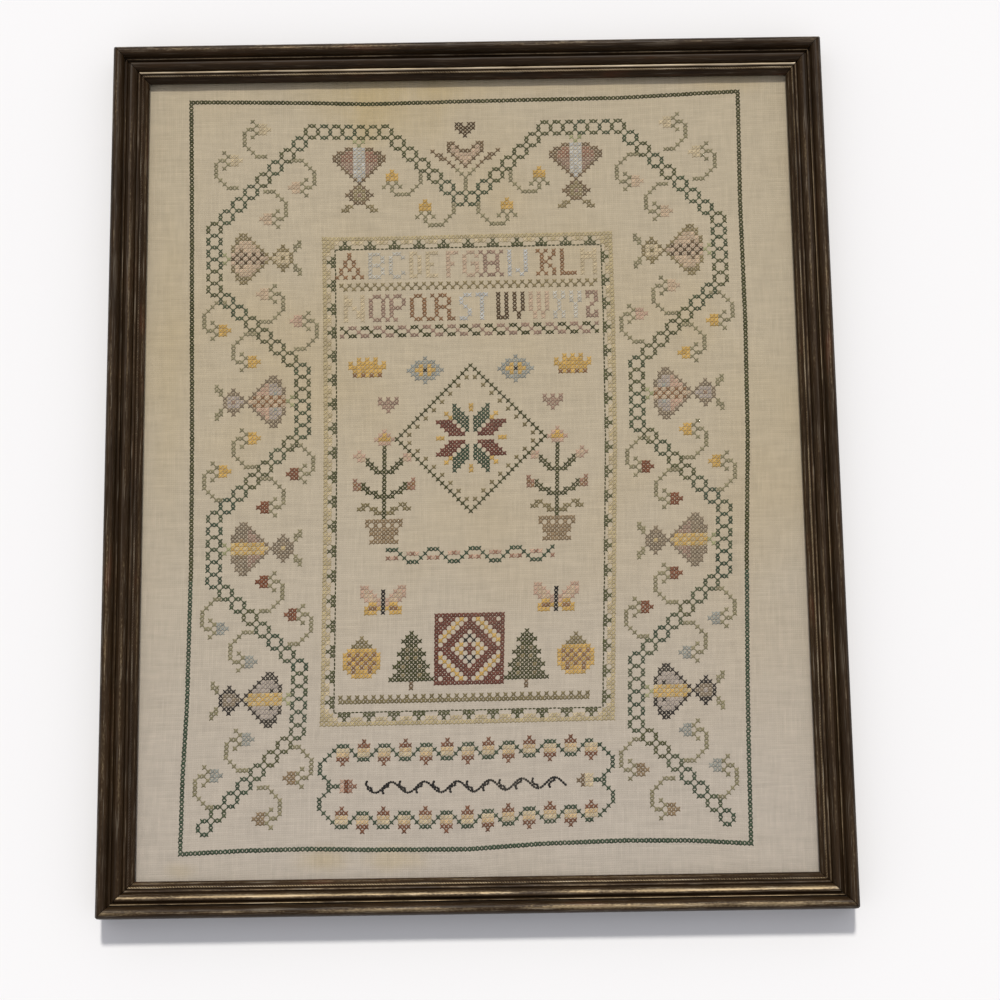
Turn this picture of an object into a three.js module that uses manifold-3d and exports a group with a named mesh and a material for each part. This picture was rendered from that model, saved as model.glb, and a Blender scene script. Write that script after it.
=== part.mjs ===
// Framed cross stitch sampler, lying on its back: four mitred moulding rails, a glass pane,
// the stitched linen and the board that the linen is stretched over.
// Millimetres. +Z points out of the picture's face, +Y towards the picture's top edge, and the
// origin is the middle of the frame's flat back.

import * as THREE from "three";
import { mergeVertices } from "three/addons/utils/BufferGeometryUtils.js";
import Module from "manifold-3d";

const wasm = await Module();
wasm.setup();

// Frame, measured over its outer edges
const FRAME_WIDTH = 412;
const FRAME_HEIGHT = 498;
const FRAME_DEPTH = 21;
const CORNER_RADIUS = 2.6;

// Moulding: the solid web behind, and the lip that laps over the glass
const RAIL_WIDTH = 19.7;
const REBATE_WIDTH = 6.4;
const LIP_UNDERSIDE = 7.8;
const BEAD_SPRING = 16.2;
const CURVE_STEPS = 8;
const MERGE_DISTANCE = 1e-5;

// Flat layers in the rebate, from the back forwards
const FIT_GAP = 0.3;
const BOARD_RECESS = 0.8;
const BOARD_THICKNESS = 2.8;
const CLOTH_THICKNESS = 1;
const GLASS_THICKNESS = 2;

// Slack puckers along the linen's top edge
const PUCKER_HEIGHT = 0.3;
const PUCKER_PITCH = 47;
const PUCKER_DRIFT = 29;
const PUCKER_REACH = 38;
const CLOTH_COLUMNS = 40;
const CLOTH_ROWS = 20;
const ROW_CROWDING = 2;

// Members of the moulding's face from the outer edge inwards: where each ends, how high its
// inner foot stands, and how far it swells above (or sinks below) the line between its feet.
const MEMBERS = [
  { name: "bead", end: 6.5, foot: BEAD_SPRING, swell: FRAME_DEPTH - BEAD_SPRING },
  { name: "hollow", end: 7.2, foot: 16.2, swell: -0.3 },
  { name: "fillet", end: 8.1, foot: 15.8, swell: 0.9 },
  { name: "quirk", end: 8.9, foot: 15.2, swell: -0.4 },
  { name: "broad reed", end: 13.7, foot: 12.9, swell: 2.6 },
  { name: "thin reed", end: 15.6, foot: 12.2, swell: 1.0 },
  { name: "roped reed", end: 17.5, foot: 11.4, swell: 1.0 },
  { name: "lip", end: RAIL_WIDTH, foot: 8.9, swell: 0.3 },
];

const PAINT = {
  wood: { color: 0x2e241f, roughness: 0.45, metalness: 0 },
  glass: { color: 0xe6eeec, roughness: 0.05, metalness: 0, transparent: true, opacity: 0.25 },
  linen: { color: 0xb8a98f, roughness: 0.9, metalness: 0 },
  board: { color: 0x8b7d68, roughness: 0.85, metalness: 0 },
};

// Turns a three.js geometry into a closed solid whose shared corners are merged.
function toSolid(geometry) {
  const bare = geometry.clone();
  bare.deleteAttribute("normal");
  bare.deleteAttribute("uv");
  const merged = mergeVertices(bare, MERGE_DISTANCE);
  const mesh = new wasm.Mesh({
    numProp: 3,
    vertProperties: new Float32Array(merged.attributes.position.array),
    triVerts: new Uint32Array(merged.index.array),
  });
  return new wasm.Manifold(mesh);
}

// Turns a closed solid back into a three.js geometry.
function toGeometry(solid) {
  const mesh = solid.getMesh();
  const geometry = new THREE.BufferGeometry();
  geometry.setAttribute("position", new THREE.BufferAttribute(mesh.vertProperties, 3));
  geometry.setIndex(new THREE.BufferAttribute(mesh.triVerts, 1));
  geometry.computeVertexNormals();
  return geometry;
}

// The moulding's section: x runs inwards from the outer edge, y upwards from the back.
function mouldingSection() {
  const section = new THREE.Shape();
  const web = RAIL_WIDTH - REBATE_WIDTH;
  section.moveTo(0, 0);
  section.lineTo(0, BEAD_SPRING);
  let start = 0;
  let foot = BEAD_SPRING;
  for (const member of MEMBERS) {
    // A cubic curve rises three quarters as far as its two handles.
    const handle = (member.swell * 4) / 3;
    section.bezierCurveTo(start, foot + handle, member.end, member.foot + handle, member.end, member.foot);
    start = member.end;
    foot = member.foot;
  }
  section.lineTo(RAIL_WIDTH, LIP_UNDERSIDE);
  section.lineTo(web, LIP_UNDERSIDE);
  section.lineTo(web, 0);
  section.closePath();
  return section;
}

// A plate with the frame's rounded outer corners, tall enough to trim a rail's ends.
function cornerTrimmer(length, breadth) {
  const outline = new THREE.Shape();
  const x = length / 2;
  const y = breadth / 2;
  const r = CORNER_RADIUS;
  outline.moveTo(-x + r, -y);
  outline.absarc(x - r, -y + r, r, -Math.PI / 2, 0, false);
  outline.absarc(x - r, y - r, r, 0, Math.PI / 2, false);
  outline.absarc(-x + r, y - r, r, Math.PI / 2, Math.PI, false);
  outline.absarc(-x + r, -y + r, r, Math.PI, Math.PI * 1.5, false);
  const plate = new THREE.ExtrudeGeometry(outline, {
    depth: FRAME_DEPTH * 2,
    bevelEnabled: false,
    curveSegments: CURVE_STEPS,
  });
  plate.translate(0, 0, -FRAME_DEPTH / 2);
  return toSolid(plate);
}

// One rail with its outer edge along y = breadth / 2, both ends cut to the mitre and set back
// by half of the joint's gap.
function railGeometry(length, breadth) {
  const rail = new THREE.ExtrudeGeometry(mouldingSection(), {
    depth: 1,
    bevelEnabled: false,
    curveSegments: CURVE_STEPS,
  });
  const setBack = (FIT_GAP / 2) * Math.SQRT2;
  const position = rail.attributes.position;
  for (let i = 0; i < position.count; i += 1) {
    const inward = position.getX(i);
    const height = position.getY(i);
    const side = position.getZ(i) < 0.5 ? 1 : -1;
    position.setXYZ(i, side * (length / 2 - inward - setBack), breadth / 2 - inward, height);
  }
  return toGeometry(toSolid(rail).intersect(cornerTrimmer(length, breadth)));
}

// How far the linen stands off its board at a place on the sheet.
function puckerAt(x, y, topEdge) {
  const wave = Math.cos((x / PUCKER_PITCH) * Math.PI * 2) + Math.cos((x / PUCKER_DRIFT) * Math.PI * 2 + 1);
  const fade = Math.exp(-(topEdge - y) / PUCKER_REACH);
  return PUCKER_HEIGHT * fade * (0.5 + wave / 4);
}

// The linen sheet with its slack top edge, rows crowded towards that edge.
function clothGeometry(width, height) {
  const sheet = new THREE.BoxGeometry(width, height, CLOTH_THICKNESS, CLOTH_COLUMNS, CLOTH_ROWS, 1);
  const position = sheet.attributes.position;
  for (let i = 0; i < position.count; i += 1) {
    const fromTop = (height / 2 - position.getY(i)) / height;
    const y = height / 2 - height * fromTop ** ROW_CROWDING;
    const x = position.getX(i);
    position.setXYZ(i, x, y, position.getZ(i) + puckerAt(x, y, height / 2));
  }
  return toGeometry(toSolid(sheet));
}

function piece(name, geometry, paint) {
  const mesh = new THREE.Mesh(geometry, new THREE.MeshStandardMaterial(paint));
  mesh.name = name;
  return mesh;
}

// The four rails of the moulding, each turned to its own side.
function frameRails() {
  const rails = new THREE.Group();
  const sides = [
    { name: "rail_top", length: FRAME_WIDTH, breadth: FRAME_HEIGHT, turn: 0 },
    { name: "rail_left", length: FRAME_HEIGHT, breadth: FRAME_WIDTH, turn: Math.PI / 2 },
    { name: "rail_bottom", length: FRAME_WIDTH, breadth: FRAME_HEIGHT, turn: Math.PI },
    { name: "rail_right", length: FRAME_HEIGHT, breadth: FRAME_WIDTH, turn: -Math.PI / 2 },
  ];
  for (const side of sides) {
    const rail = piece(side.name, railGeometry(side.length, side.breadth), PAINT.wood);
    rail.rotation.z = side.turn;
    rails.add(rail);
  }
  return rails;
}

// Board, linen and glass, stacked in the rebate behind the lip.
function rebateLayers() {
  const layers = new THREE.Group();
  const margin = 2 * (RAIL_WIDTH - REBATE_WIDTH + FIT_GAP);
  const width = FRAME_WIDTH - margin;
  const height = FRAME_HEIGHT - margin;

  const board = piece("backing_board", new THREE.BoxGeometry(width, height, BOARD_THICKNESS), PAINT.board);
  board.position.z = BOARD_RECESS + BOARD_THICKNESS / 2;

  const clothBack = BOARD_RECESS + BOARD_THICKNESS + FIT_GAP;
  const cloth = piece("sampler_cloth", clothGeometry(width, height), PAINT.linen);
  cloth.position.z = clothBack + CLOTH_THICKNESS / 2;

  const glass = piece("glass_pane", new THREE.BoxGeometry(width, height, GLASS_THICKNESS), PAINT.glass);
  glass.position.z = LIP_UNDERSIDE - FIT_GAP - GLASS_THICKNESS / 2;

  layers.add(board, cloth, glass);
  return layers;
}

const sampler = new THREE.Group();
sampler.name = "framed_cross_stitch_sampler";
sampler.add(frameRails(), rebateLayers());

export default sampler;
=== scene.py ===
"""A framed cross stitch sampler that lies on its back, face up.

The rails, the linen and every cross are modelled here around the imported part. The pane and the
backing board keep their own solids. Lengths are in metres, +Y is the picture's top edge and +Z
points out of its face.
"""

import logging
import math
import random
from collections.abc import Callable, Iterable, Mapping, Sequence
from dataclasses import dataclass, field
from enum import Enum

import bmesh
import bpy
import numpy as np
from mathutils import Matrix, Vector


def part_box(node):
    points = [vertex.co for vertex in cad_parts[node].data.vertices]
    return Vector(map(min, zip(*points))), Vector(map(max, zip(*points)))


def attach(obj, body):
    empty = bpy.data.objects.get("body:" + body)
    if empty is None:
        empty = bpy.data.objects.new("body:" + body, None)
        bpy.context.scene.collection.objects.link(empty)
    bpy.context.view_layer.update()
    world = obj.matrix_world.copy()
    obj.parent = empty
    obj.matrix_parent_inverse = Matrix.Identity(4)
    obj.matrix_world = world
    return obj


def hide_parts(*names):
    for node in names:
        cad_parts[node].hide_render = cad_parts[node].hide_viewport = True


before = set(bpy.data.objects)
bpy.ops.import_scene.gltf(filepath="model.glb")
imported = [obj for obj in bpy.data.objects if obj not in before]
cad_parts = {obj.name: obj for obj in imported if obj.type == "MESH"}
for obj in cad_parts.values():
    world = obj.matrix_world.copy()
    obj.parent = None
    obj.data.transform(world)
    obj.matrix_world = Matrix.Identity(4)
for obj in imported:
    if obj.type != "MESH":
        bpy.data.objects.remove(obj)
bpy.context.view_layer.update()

MM = 0.001
BODY = "root"
log = logging.getLogger("sampler")

Cell = tuple[int, int]
Point = tuple[float, float]


def clear_selection() -> None:
    """Deselects every object, so that an operator acts on new pieces only."""
    bpy.ops.object.select_all(action="DESELECT")


def make_active(obj: bpy.types.Object) -> None:
    """Selects one object alone and makes it the active one.

    Args:
        obj: The object that the next operators act on.
    """
    clear_selection()
    obj.select_set(True)
    bpy.context.view_layer.objects.active = obj


def settle(obj: bpy.types.Object) -> None:
    """Moves an object's place, turn and size into its mesh.

    Args:
        obj: The object that ends at the origin, unturned and unscaled.
    """
    make_active(obj)
    bpy.ops.object.transform_apply(location=True, rotation=True, scale=True)


def pick(obj: bpy.types.Object, kind: str, test: Callable[[Vector], bool]) -> None:
    """Selects vertices, edges or faces of the mesh in edit mode by where they are.

    Args:
        obj: The object in edit mode.
        kind: "verts", "edges" or "faces".
        test: Tells from an element's middle whether it is picked.
    """
    modes = {"verts": "VERT", "edges": "EDGE", "faces": "FACE"}
    bpy.ops.mesh.select_mode(type=modes[kind])
    bpy.ops.mesh.select_all(action="DESELECT")
    shape = bmesh.from_edit_mesh(obj.data)
    for element in getattr(shape, kind):
        if kind == "verts":
            middle = element.co
        elif kind == "edges":
            middle = (element.verts[0].co + element.verts[1].co) / 2
        else:
            middle = element.calc_center_median()
        if test(middle):
            element.select_set(True)
    shape.select_flush_mode()
    bmesh.update_edit_mesh(obj.data)


def pull_out(step: Sequence[float]) -> None:
    """Extrudes what is selected in edit mode and moves it.

    Args:
        step: How far the new faces or edges go, along x, y and z.
    """
    bpy.ops.mesh.extrude_region_move(TRANSFORM_OT_translate={"value": tuple(step)})


def places(mesh: bpy.types.Mesh) -> np.ndarray:
    """Reads a mesh's vertices.

    Args:
        mesh: The mesh to read.

    Returns:
        One row of x, y and z for each vertex.
    """
    flat = np.empty(len(mesh.vertices) * 3)
    mesh.vertices.foreach_get("co", flat)
    return flat.reshape(-1, 3)


def set_places(mesh: bpy.types.Mesh, points: np.ndarray) -> None:
    """Writes a mesh's vertices back after they were moved."""
    mesh.vertices.foreach_set("co", points.ravel())
    mesh.update()


def note_points(mesh: bpy.types.Mesh, name: str, values: np.ndarray) -> None:
    """Keeps a number or a vector at each vertex, for a material to read.

    Args:
        mesh: The mesh that gets the attribute.
        name: The attribute's name.
        values: One number, or one row of three, for each vertex.
    """
    kind, key = ("FLOAT", "value") if values.ndim == 1 else ("FLOAT_VECTOR", "vector")
    layer = mesh.attributes.new(name, kind, "POINT")
    layer.data.foreach_set(key, values.astype(np.float32).ravel())


def note_uv(mesh: bpy.types.Mesh, uv: np.ndarray) -> None:
    """Writes a mesh's UV map from one row of u and v for each vertex."""
    corners = np.empty(len(mesh.loops), dtype=np.int32)
    mesh.loops.foreach_get("vertex_index", corners)
    layer = mesh.uv_layers.active or mesh.uv_layers.new(name="thread")
    layer.data.foreach_set("uv", uv[corners].astype(np.float32).ravel())


class Sock:
    """A shader socket whose operators add Math nodes."""

    def __init__(self, bench: "Bench", socket: bpy.types.NodeSocket | None) -> None:
        """Wraps one output of a node."""
        self.bench = bench
        self.socket = socket

    def other(self, name: str) -> "Sock":
        """Gives another output of the same node."""
        return Sock(self.bench, self.socket.node.outputs[name])

    def math(self, operation: str, *values: "Value") -> "Sock":
        """Adds one Math node over the given values."""
        return self.bench.node("Math", {"operation": operation}, dict(enumerate(values)))

    def __add__(self, value: "Value") -> "Sock":
        """Sum."""
        return self.math("ADD", self, value)

    __radd__ = __add__

    def __sub__(self, value: "Value") -> "Sock":
        """Difference."""
        return self.math("SUBTRACT", self, value)

    def __rsub__(self, value: "Value") -> "Sock":
        """Difference from a number on the left."""
        return self.math("SUBTRACT", value, self)

    def __mul__(self, value: "Value") -> "Sock":
        """Product."""
        return self.math("MULTIPLY", self, value)

    __rmul__ = __mul__

    def __truediv__(self, value: "Value") -> "Sock":
        """Quotient."""
        return self.math("DIVIDE", self, value)

    def __pow__(self, value: "Value") -> "Sock":
        """Power."""
        return self.math("POWER", self, value)

    def __abs__(self) -> "Sock":
        """Size without its sign."""
        return self.math("ABSOLUTE", self)

    def sine(self) -> "Sock":
        """Sine of an angle in radians."""
        return self.math("SINE", self)

    def floor(self) -> "Sock":
        """Next whole number below."""
        return self.math("FLOOR", self)

    def larger(self, value: "Value") -> "Sock":
        """The larger of two values."""
        return self.math("MAXIMUM", self, value)

    def ease(self, low: float, high: float) -> "Sock":
        """Rises smoothly from 0 at low to 1 at high, or falls where low is the larger."""
        if low > high:
            return 1 - self.ease(high, low)
        settings = {"interpolation_type": "SMOOTHSTEP"}
        return self.bench.node("MapRange", settings, {"Value": self, "From Min": low, "From Max": high})


Value = Sock | float | int | tuple | Vector


class Bench:
    """The node tree of one material, built one expression at a time."""

    def __init__(self, name: str) -> None:
        """Starts a material with an empty node tree."""
        self.material = bpy.data.materials.new(name)
        self.material.use_nodes = True
        self.tree = self.material.node_tree
        self.tree.nodes.clear()

    def node(
        self,
        kind: str,
        settings: Mapping[str, object] | None = None,
        inputs: Mapping[str | int, Value] | None = None,
        output: str | int = 0,
    ) -> Sock:
        """Adds any shader node.

        Args:
            kind: The node's type without its ShaderNode prefix.
            settings: Properties, set first.
            inputs: Values or links by the socket's name or number.
            output: The output that is wanted.

        Returns:
            The wanted output, ready for expressions. A node without outputs gives an empty socket.
        """
        made = self.tree.nodes.new("ShaderNode" + kind)
        for key, value in (settings or {}).items():
            setattr(made, key, value)
        for key, value in (inputs or {}).items():
            if isinstance(value, Sock):
                self.tree.links.new(value.socket, made.inputs[key])
            else:
                made.inputs[key].default_value = value
        return Sock(self, made.outputs[output] if made.outputs else None)

    def object_place(self) -> Sock:
        """Object coordinates, which are the row's own metres."""
        return self.node("TexCoord", output="Object")

    def uv(self) -> Sock:
        """The piece's own UV map."""
        return self.node("TexCoord", output="UV")

    def attribute(self, name: str, output: str = "Fac") -> Sock:
        """An attribute of the mesh by its name."""
        return self.node("Attribute", {"attribute_name": name}, output=output)

    def split(self, vector: Sock) -> tuple[Sock, Sock, Sock]:
        """The x, y and z of a vector."""
        x = self.node("SeparateXYZ", inputs={0: vector})
        return x, x.other("Y"), x.other("Z")

    def join(self, x: Value, y: Value, z: Value) -> Sock:
        """A vector from its x, y and z."""
        return self.node("CombineXYZ", inputs={0: x, 1: y, 2: z})

    def noise(self, vector: Sock, scale: float, detail: float = 2.0, roughness: float = 0.5) -> Sock:
        """Soft noise between 0 and 1."""
        inputs = {"Vector": vector, "Scale": scale, "Detail": detail, "Roughness": roughness}
        return self.node("TexNoise", inputs=inputs)

    def mix(self, first: Value, second: Value, amount: Value, blend: str = "MIX") -> Sock:
        """Blends two colours."""
        settings = {"data_type": "RGBA", "blend_type": blend}
        return self.node("Mix", settings, {0: amount, 6: first, 7: second}, output=2)

    def shaded(self, colour: Value, tone: Sock) -> Sock:
        """A colour made lighter or darker by a tone, where 1 leaves it as it is."""
        return self.mix(colour, self.join(tone, tone, tone), 1.0, "MULTIPLY")

    def bump(self, height: Sock, distance: float) -> Sock:
        """A normal from a height, whose full range stands distance high."""
        return self.node("Bump", inputs={"Strength": 1.0, "Distance": distance, "Height": height})

    def finish(self, shader: Sock) -> bpy.types.Material:
        """Connects the last shader to the material's output, and gives the material."""
        self.node("OutputMaterial", inputs={"Surface": shader})
        return self.material

    def surface(self, inputs: Mapping[str, Value]) -> bpy.types.Material:
        """Ends the tree in one Principled shader with the given sockets, and gives the material."""
        return self.finish(self.node("BsdfPrincipled", inputs=inputs))


def linear(red: float, green: float, blue: float) -> tuple[float, float, float, float]:
    """Turns a screen colour of 0 to 255 into the linear colour that a shader takes, with full alpha."""
    parts = [part / 255 for part in (red, green, blue)]
    return (*(p / 12.92 if p <= 0.04045 else ((p + 0.055) / 1.055) ** 2.4 for p in parts), 1.0)


@dataclass(frozen=True)
class Grain:
    """A stretched noise: its cells to a metre along each axis, its detail and its roughness."""

    cells: tuple[float, float, float]
    detail: float = 2.0
    roughness: float = 0.5

    def over(self, vector: Sock) -> Sock:
        """The noise, from 0 to 1, over a vector."""
        bench = vector.bench
        stretched = bench.node("VectorMath", {"operation": "MULTIPLY"}, {0: vector, 1: self.cells})
        return bench.noise(stretched, 1.0, self.detail, self.roughness)


class Floss(Enum):
    """The thread colours, each with its chart letter and its screen colour."""

    FOREST = ("G", (64, 64, 27))
    SPRUCE = ("S", (58, 73, 52))
    MOSS = ("g", (84, 84, 50))
    MYRTLE = ("s", (74, 82, 55))
    OLIVE = ("O", (122, 108, 72))
    SAGE = ("A", (136, 127, 96))
    PALE_GREEN = ("E", (158, 156, 114))
    BROWN = ("N", (114, 92, 66))
    KHAKI = ("K", (134, 118, 82))
    COCOA = ("D", (86, 66, 42))
    ROSE = ("R", (148, 108, 88))
    MAUVE = ("M", (152, 123, 106))
    LAVENDER = ("V", (170, 156, 146))
    DUSTY_BLUE = ("B", (150, 150, 142))
    SKY = ("C", (190, 187, 182))
    MIST = ("c", (192, 185, 172))
    PINK = ("P", (192, 158, 136))
    BLUSH = ("p", (194, 167, 142))
    SHELL = ("L", (198, 172, 144))
    PEACH = ("H", (202, 174, 132))
    STRAW = ("Y", (200, 175, 126))
    FAWN = ("y", (201, 182, 148))
    GOLD = ("U", (198, 160, 88))
    OCHRE = ("Z", (184, 166, 126))
    RUST = ("T", (137, 99, 66))
    RED = ("X", (122, 72, 46))
    COPPER = ("r", (120, 76, 52))
    BRICK = ("I", (106, 60, 46))
    TAN = ("W", (138, 114, 84))
    GREY = ("F", (130, 113, 92))
    PLUM = ("Q", (40, 32, 26))
    BLACK = ("J", (22, 18, 14))

    @property
    def letter(self) -> str:
        """The letter that stands for this thread in a chart."""
        return self.value[0]

    @property
    def colour(self) -> tuple[float, float, float, float]:
        """The thread's linear colour."""
        return linear(*self.value[1])


LEGEND = {floss.letter: floss for floss in Floss}


@dataclass(frozen=True)
class FlossFinish:
    """Stranded cotton: two twisted strands along each stitch, uneven in shade and a little faded, with
    painted shade in the grooves between the strands.
    """

    floss: Floss
    strands: float = 2.0
    twist: float = 2.5
    strand_depth: float = 0.06 * MM
    groove_shade_tone: float = 0.75
    strand_highlight_tone: float = 0.3
    fade_scale: float = 22.0
    fade: float = 0.16
    faded_through: float = 0.45
    shade_spread: float = 0.4
    roughness: float = 0.72
    strand_gloss: float = 0.14
    specular: float = 0.15

    def material(self) -> bpy.types.Material:
        """Builds the finish.

        Returns:
            The material of this thread colour.
        """
        bench = Bench("floss_" + self.floss.name.lower())
        along, across, _ = bench.split(bench.uv())
        strand = abs(((across * self.strands + along * self.twist) * math.pi).sine())
        worn = bench.noise(bench.object_place(), self.fade_scale).ease(0.35, 0.75)
        # The shade attribute is each stitch's random tone, lighter on upper arms as a painted highlight.
        light = bench.attribute("shade") * self.shade_spread + (1 - self.shade_spread / 2)
        through = self.faded_through
        pale = tuple(
            (1 - through) * part + through * cloth for part, cloth in zip(self.floss.colour, LINEN_COLOUR)
        )
        faded = bench.mix(self.floss.colour, pale, worn * self.fade)
        inputs = {
            # The grooves between the strands are painted darker and the strands lighter: painted shade and
            # highlight over the bump.
            "Base Color": bench.shaded(faded, light * (strand * self.strand_highlight_tone + self.groove_shade_tone)),
            "Roughness": self.roughness - strand * self.strand_gloss,
            "Specular IOR Level": self.specular,
            "Normal": bench.bump(strand, self.strand_depth),
        }
        return bench.surface(inputs)


LINEN_COLOUR = linear(187, 172, 148)


@dataclass(frozen=True)
class Stain:
    """One soft stain on the linen: its middle and half its size in millimetres, and its strength."""

    x: float
    y: float
    half_width: float
    half_height: float
    strength: float


@dataclass(frozen=True)
class LinenFinish:
    """Evenweave linen, two threads to a cross, with slubs, faded tints and a few stains, painted shade in
    its weave holes and crease streaks of painted shade.
    """

    columns: float
    rows: float
    threads: float = 2.0
    weave_depth: float = 0.09 * MM
    hole_shade: tuple = linear(140, 124, 98)
    hole_shade_share: float = 0.3
    warm: tuple = linear(184, 165, 132)
    warm_share: float = 0.6
    cloud_scale: float = 9.0
    grey: tuple = linear(188, 177, 168)
    grey_share: float = 0.7
    grey_from: float = 60 * MM
    grey_to: float = -220 * MM
    slub_length: float = 0.045
    slub_scale: float = 1.7
    slub_tone: float = 0.45
    crease_shading: Grain = Grain((30.0, 210.0, 1.0), 3.0, 0.6)
    crease_shade_tone: float = 0.16
    ground_tone: float = 0.69
    roughness: float = 0.95
    thread_gloss: float = 0.1
    specular: float = 0.1
    stain_colour: tuple = linear(182, 160, 116)
    stain_share: float = 0.8
    stain_edges: Grain = Grain((60.0, 21.0, 60.0), 4.0, 0.6)
    raggedness: float = 1.2
    stains: tuple[Stain, ...] = (
        Stain(-50, 214, 36, 32, 0.55),
        Stain(-58, 224, 20, 36, 0.35),
        Stain(-12, 226, 24, 14, 0.35),
        Stain(-86, 226, 30, 22, 0.3),
        Stain(20, 228, 90, 10, 0.3),
        Stain(150, 228, 26, 9, 0.4),
        Stain(-84, -219, 15, 8, 0.55),
        Stain(-45, -219, 20, 7, 0.45),
        Stain(-172, 60, 12, 110, 0.2),
        Stain(-163, -224, 9, 5, 0.3),
    )

    def material(self) -> bpy.types.Material:
        """Builds the finish.

        Returns:
            The linen's material. It reads the cloth's UV map, which follows the stitch grid.
        """
        bench = Bench("linen")
        across, down, _ = bench.split(bench.uv())
        warp = across * (self.columns * self.threads)
        weft = down * (self.rows * self.threads)
        height = self._weave(warp, weft)
        slub = self._slubs(bench, warp, weft)
        place = bench.object_place()
        x, y, _ = bench.split(place)
        cloud = bench.noise(place, self.cloud_scale, 3.0)
        colour = bench.mix(LINEN_COLOUR, self.warm, cloud.ease(0.4, 0.75) * self.warm_share)
        colour = bench.mix(colour, self.grey, y.ease(self.grey_from, self.grey_to) * self.grey_share)
        colour = bench.mix(colour, self.stain_colour, self._stain_mask(place, x, y))
        # The weave's holes are darkened towards the hole colour: painted shade.
        raised = (height * 1.4 + 0.25).ease(0.0, 1.0) * self.hole_shade_share + (1 - self.hole_shade_share)
        colour = bench.mix(self.hole_shade, colour, raised)
        # The crease streaks are painted shade of shallow creases, long horizontal bands of darker and
        # lighter tone; the slubs are the threads' own tone.
        tone = slub * self.slub_tone + self.crease_shading.over(place) * self.crease_shade_tone + self.ground_tone
        inputs = {
            "Base Color": bench.shaded(colour, tone),
            "Roughness": self.roughness - height * self.thread_gloss,
            "Specular IOR Level": self.specular,
            "Normal": bench.bump(height + slub, self.weave_depth),
        }
        return bench.surface(inputs)

    def _weave(self, warp: Sock, weft: Sock) -> Sock:
        """Height of a plain weave from the two thread counts, from 0 in a hole to 1 on a thread."""
        upright = (warp * math.pi).sine()
        level = (weft * math.pi).sine()
        turn = upright * level * 0.5
        return (abs(upright) * (0.5 + turn)).larger(abs(level) * (0.5 - turn))

    def _slubs(self, bench: Bench, warp: Sock, weft: Sock) -> Sock:
        """Uneven thickness and tone of single threads, around 0.5."""
        upright = bench.join(warp.floor(), weft * self.slub_length, 0.0)
        level = bench.join(warp * self.slub_length, weft.floor(), 7.0)
        return (bench.noise(upright, self.slub_scale, 1.0) + bench.noise(level, self.slub_scale, 1.0)) * 0.5

    def _stain_mask(self, place: Sock, x: Sock, y: Sock) -> Sock:
        """Sum of the soft stains, ragged at their edges."""
        ragged = self.stain_edges.over(place)
        total: Value = 0.0
        for stain in self.stains:
            far_x = (x - stain.x * MM) / (stain.half_width * MM)
            far_y = (y - stain.y * MM) / (stain.half_height * MM)
            reach = (far_x * far_x + far_y * far_y) ** 0.5 + (ragged - 0.5) * self.raggedness
            total = reach.ease(1.3, 0.1) * stain.strength + total
        return total * self.stain_share


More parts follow.
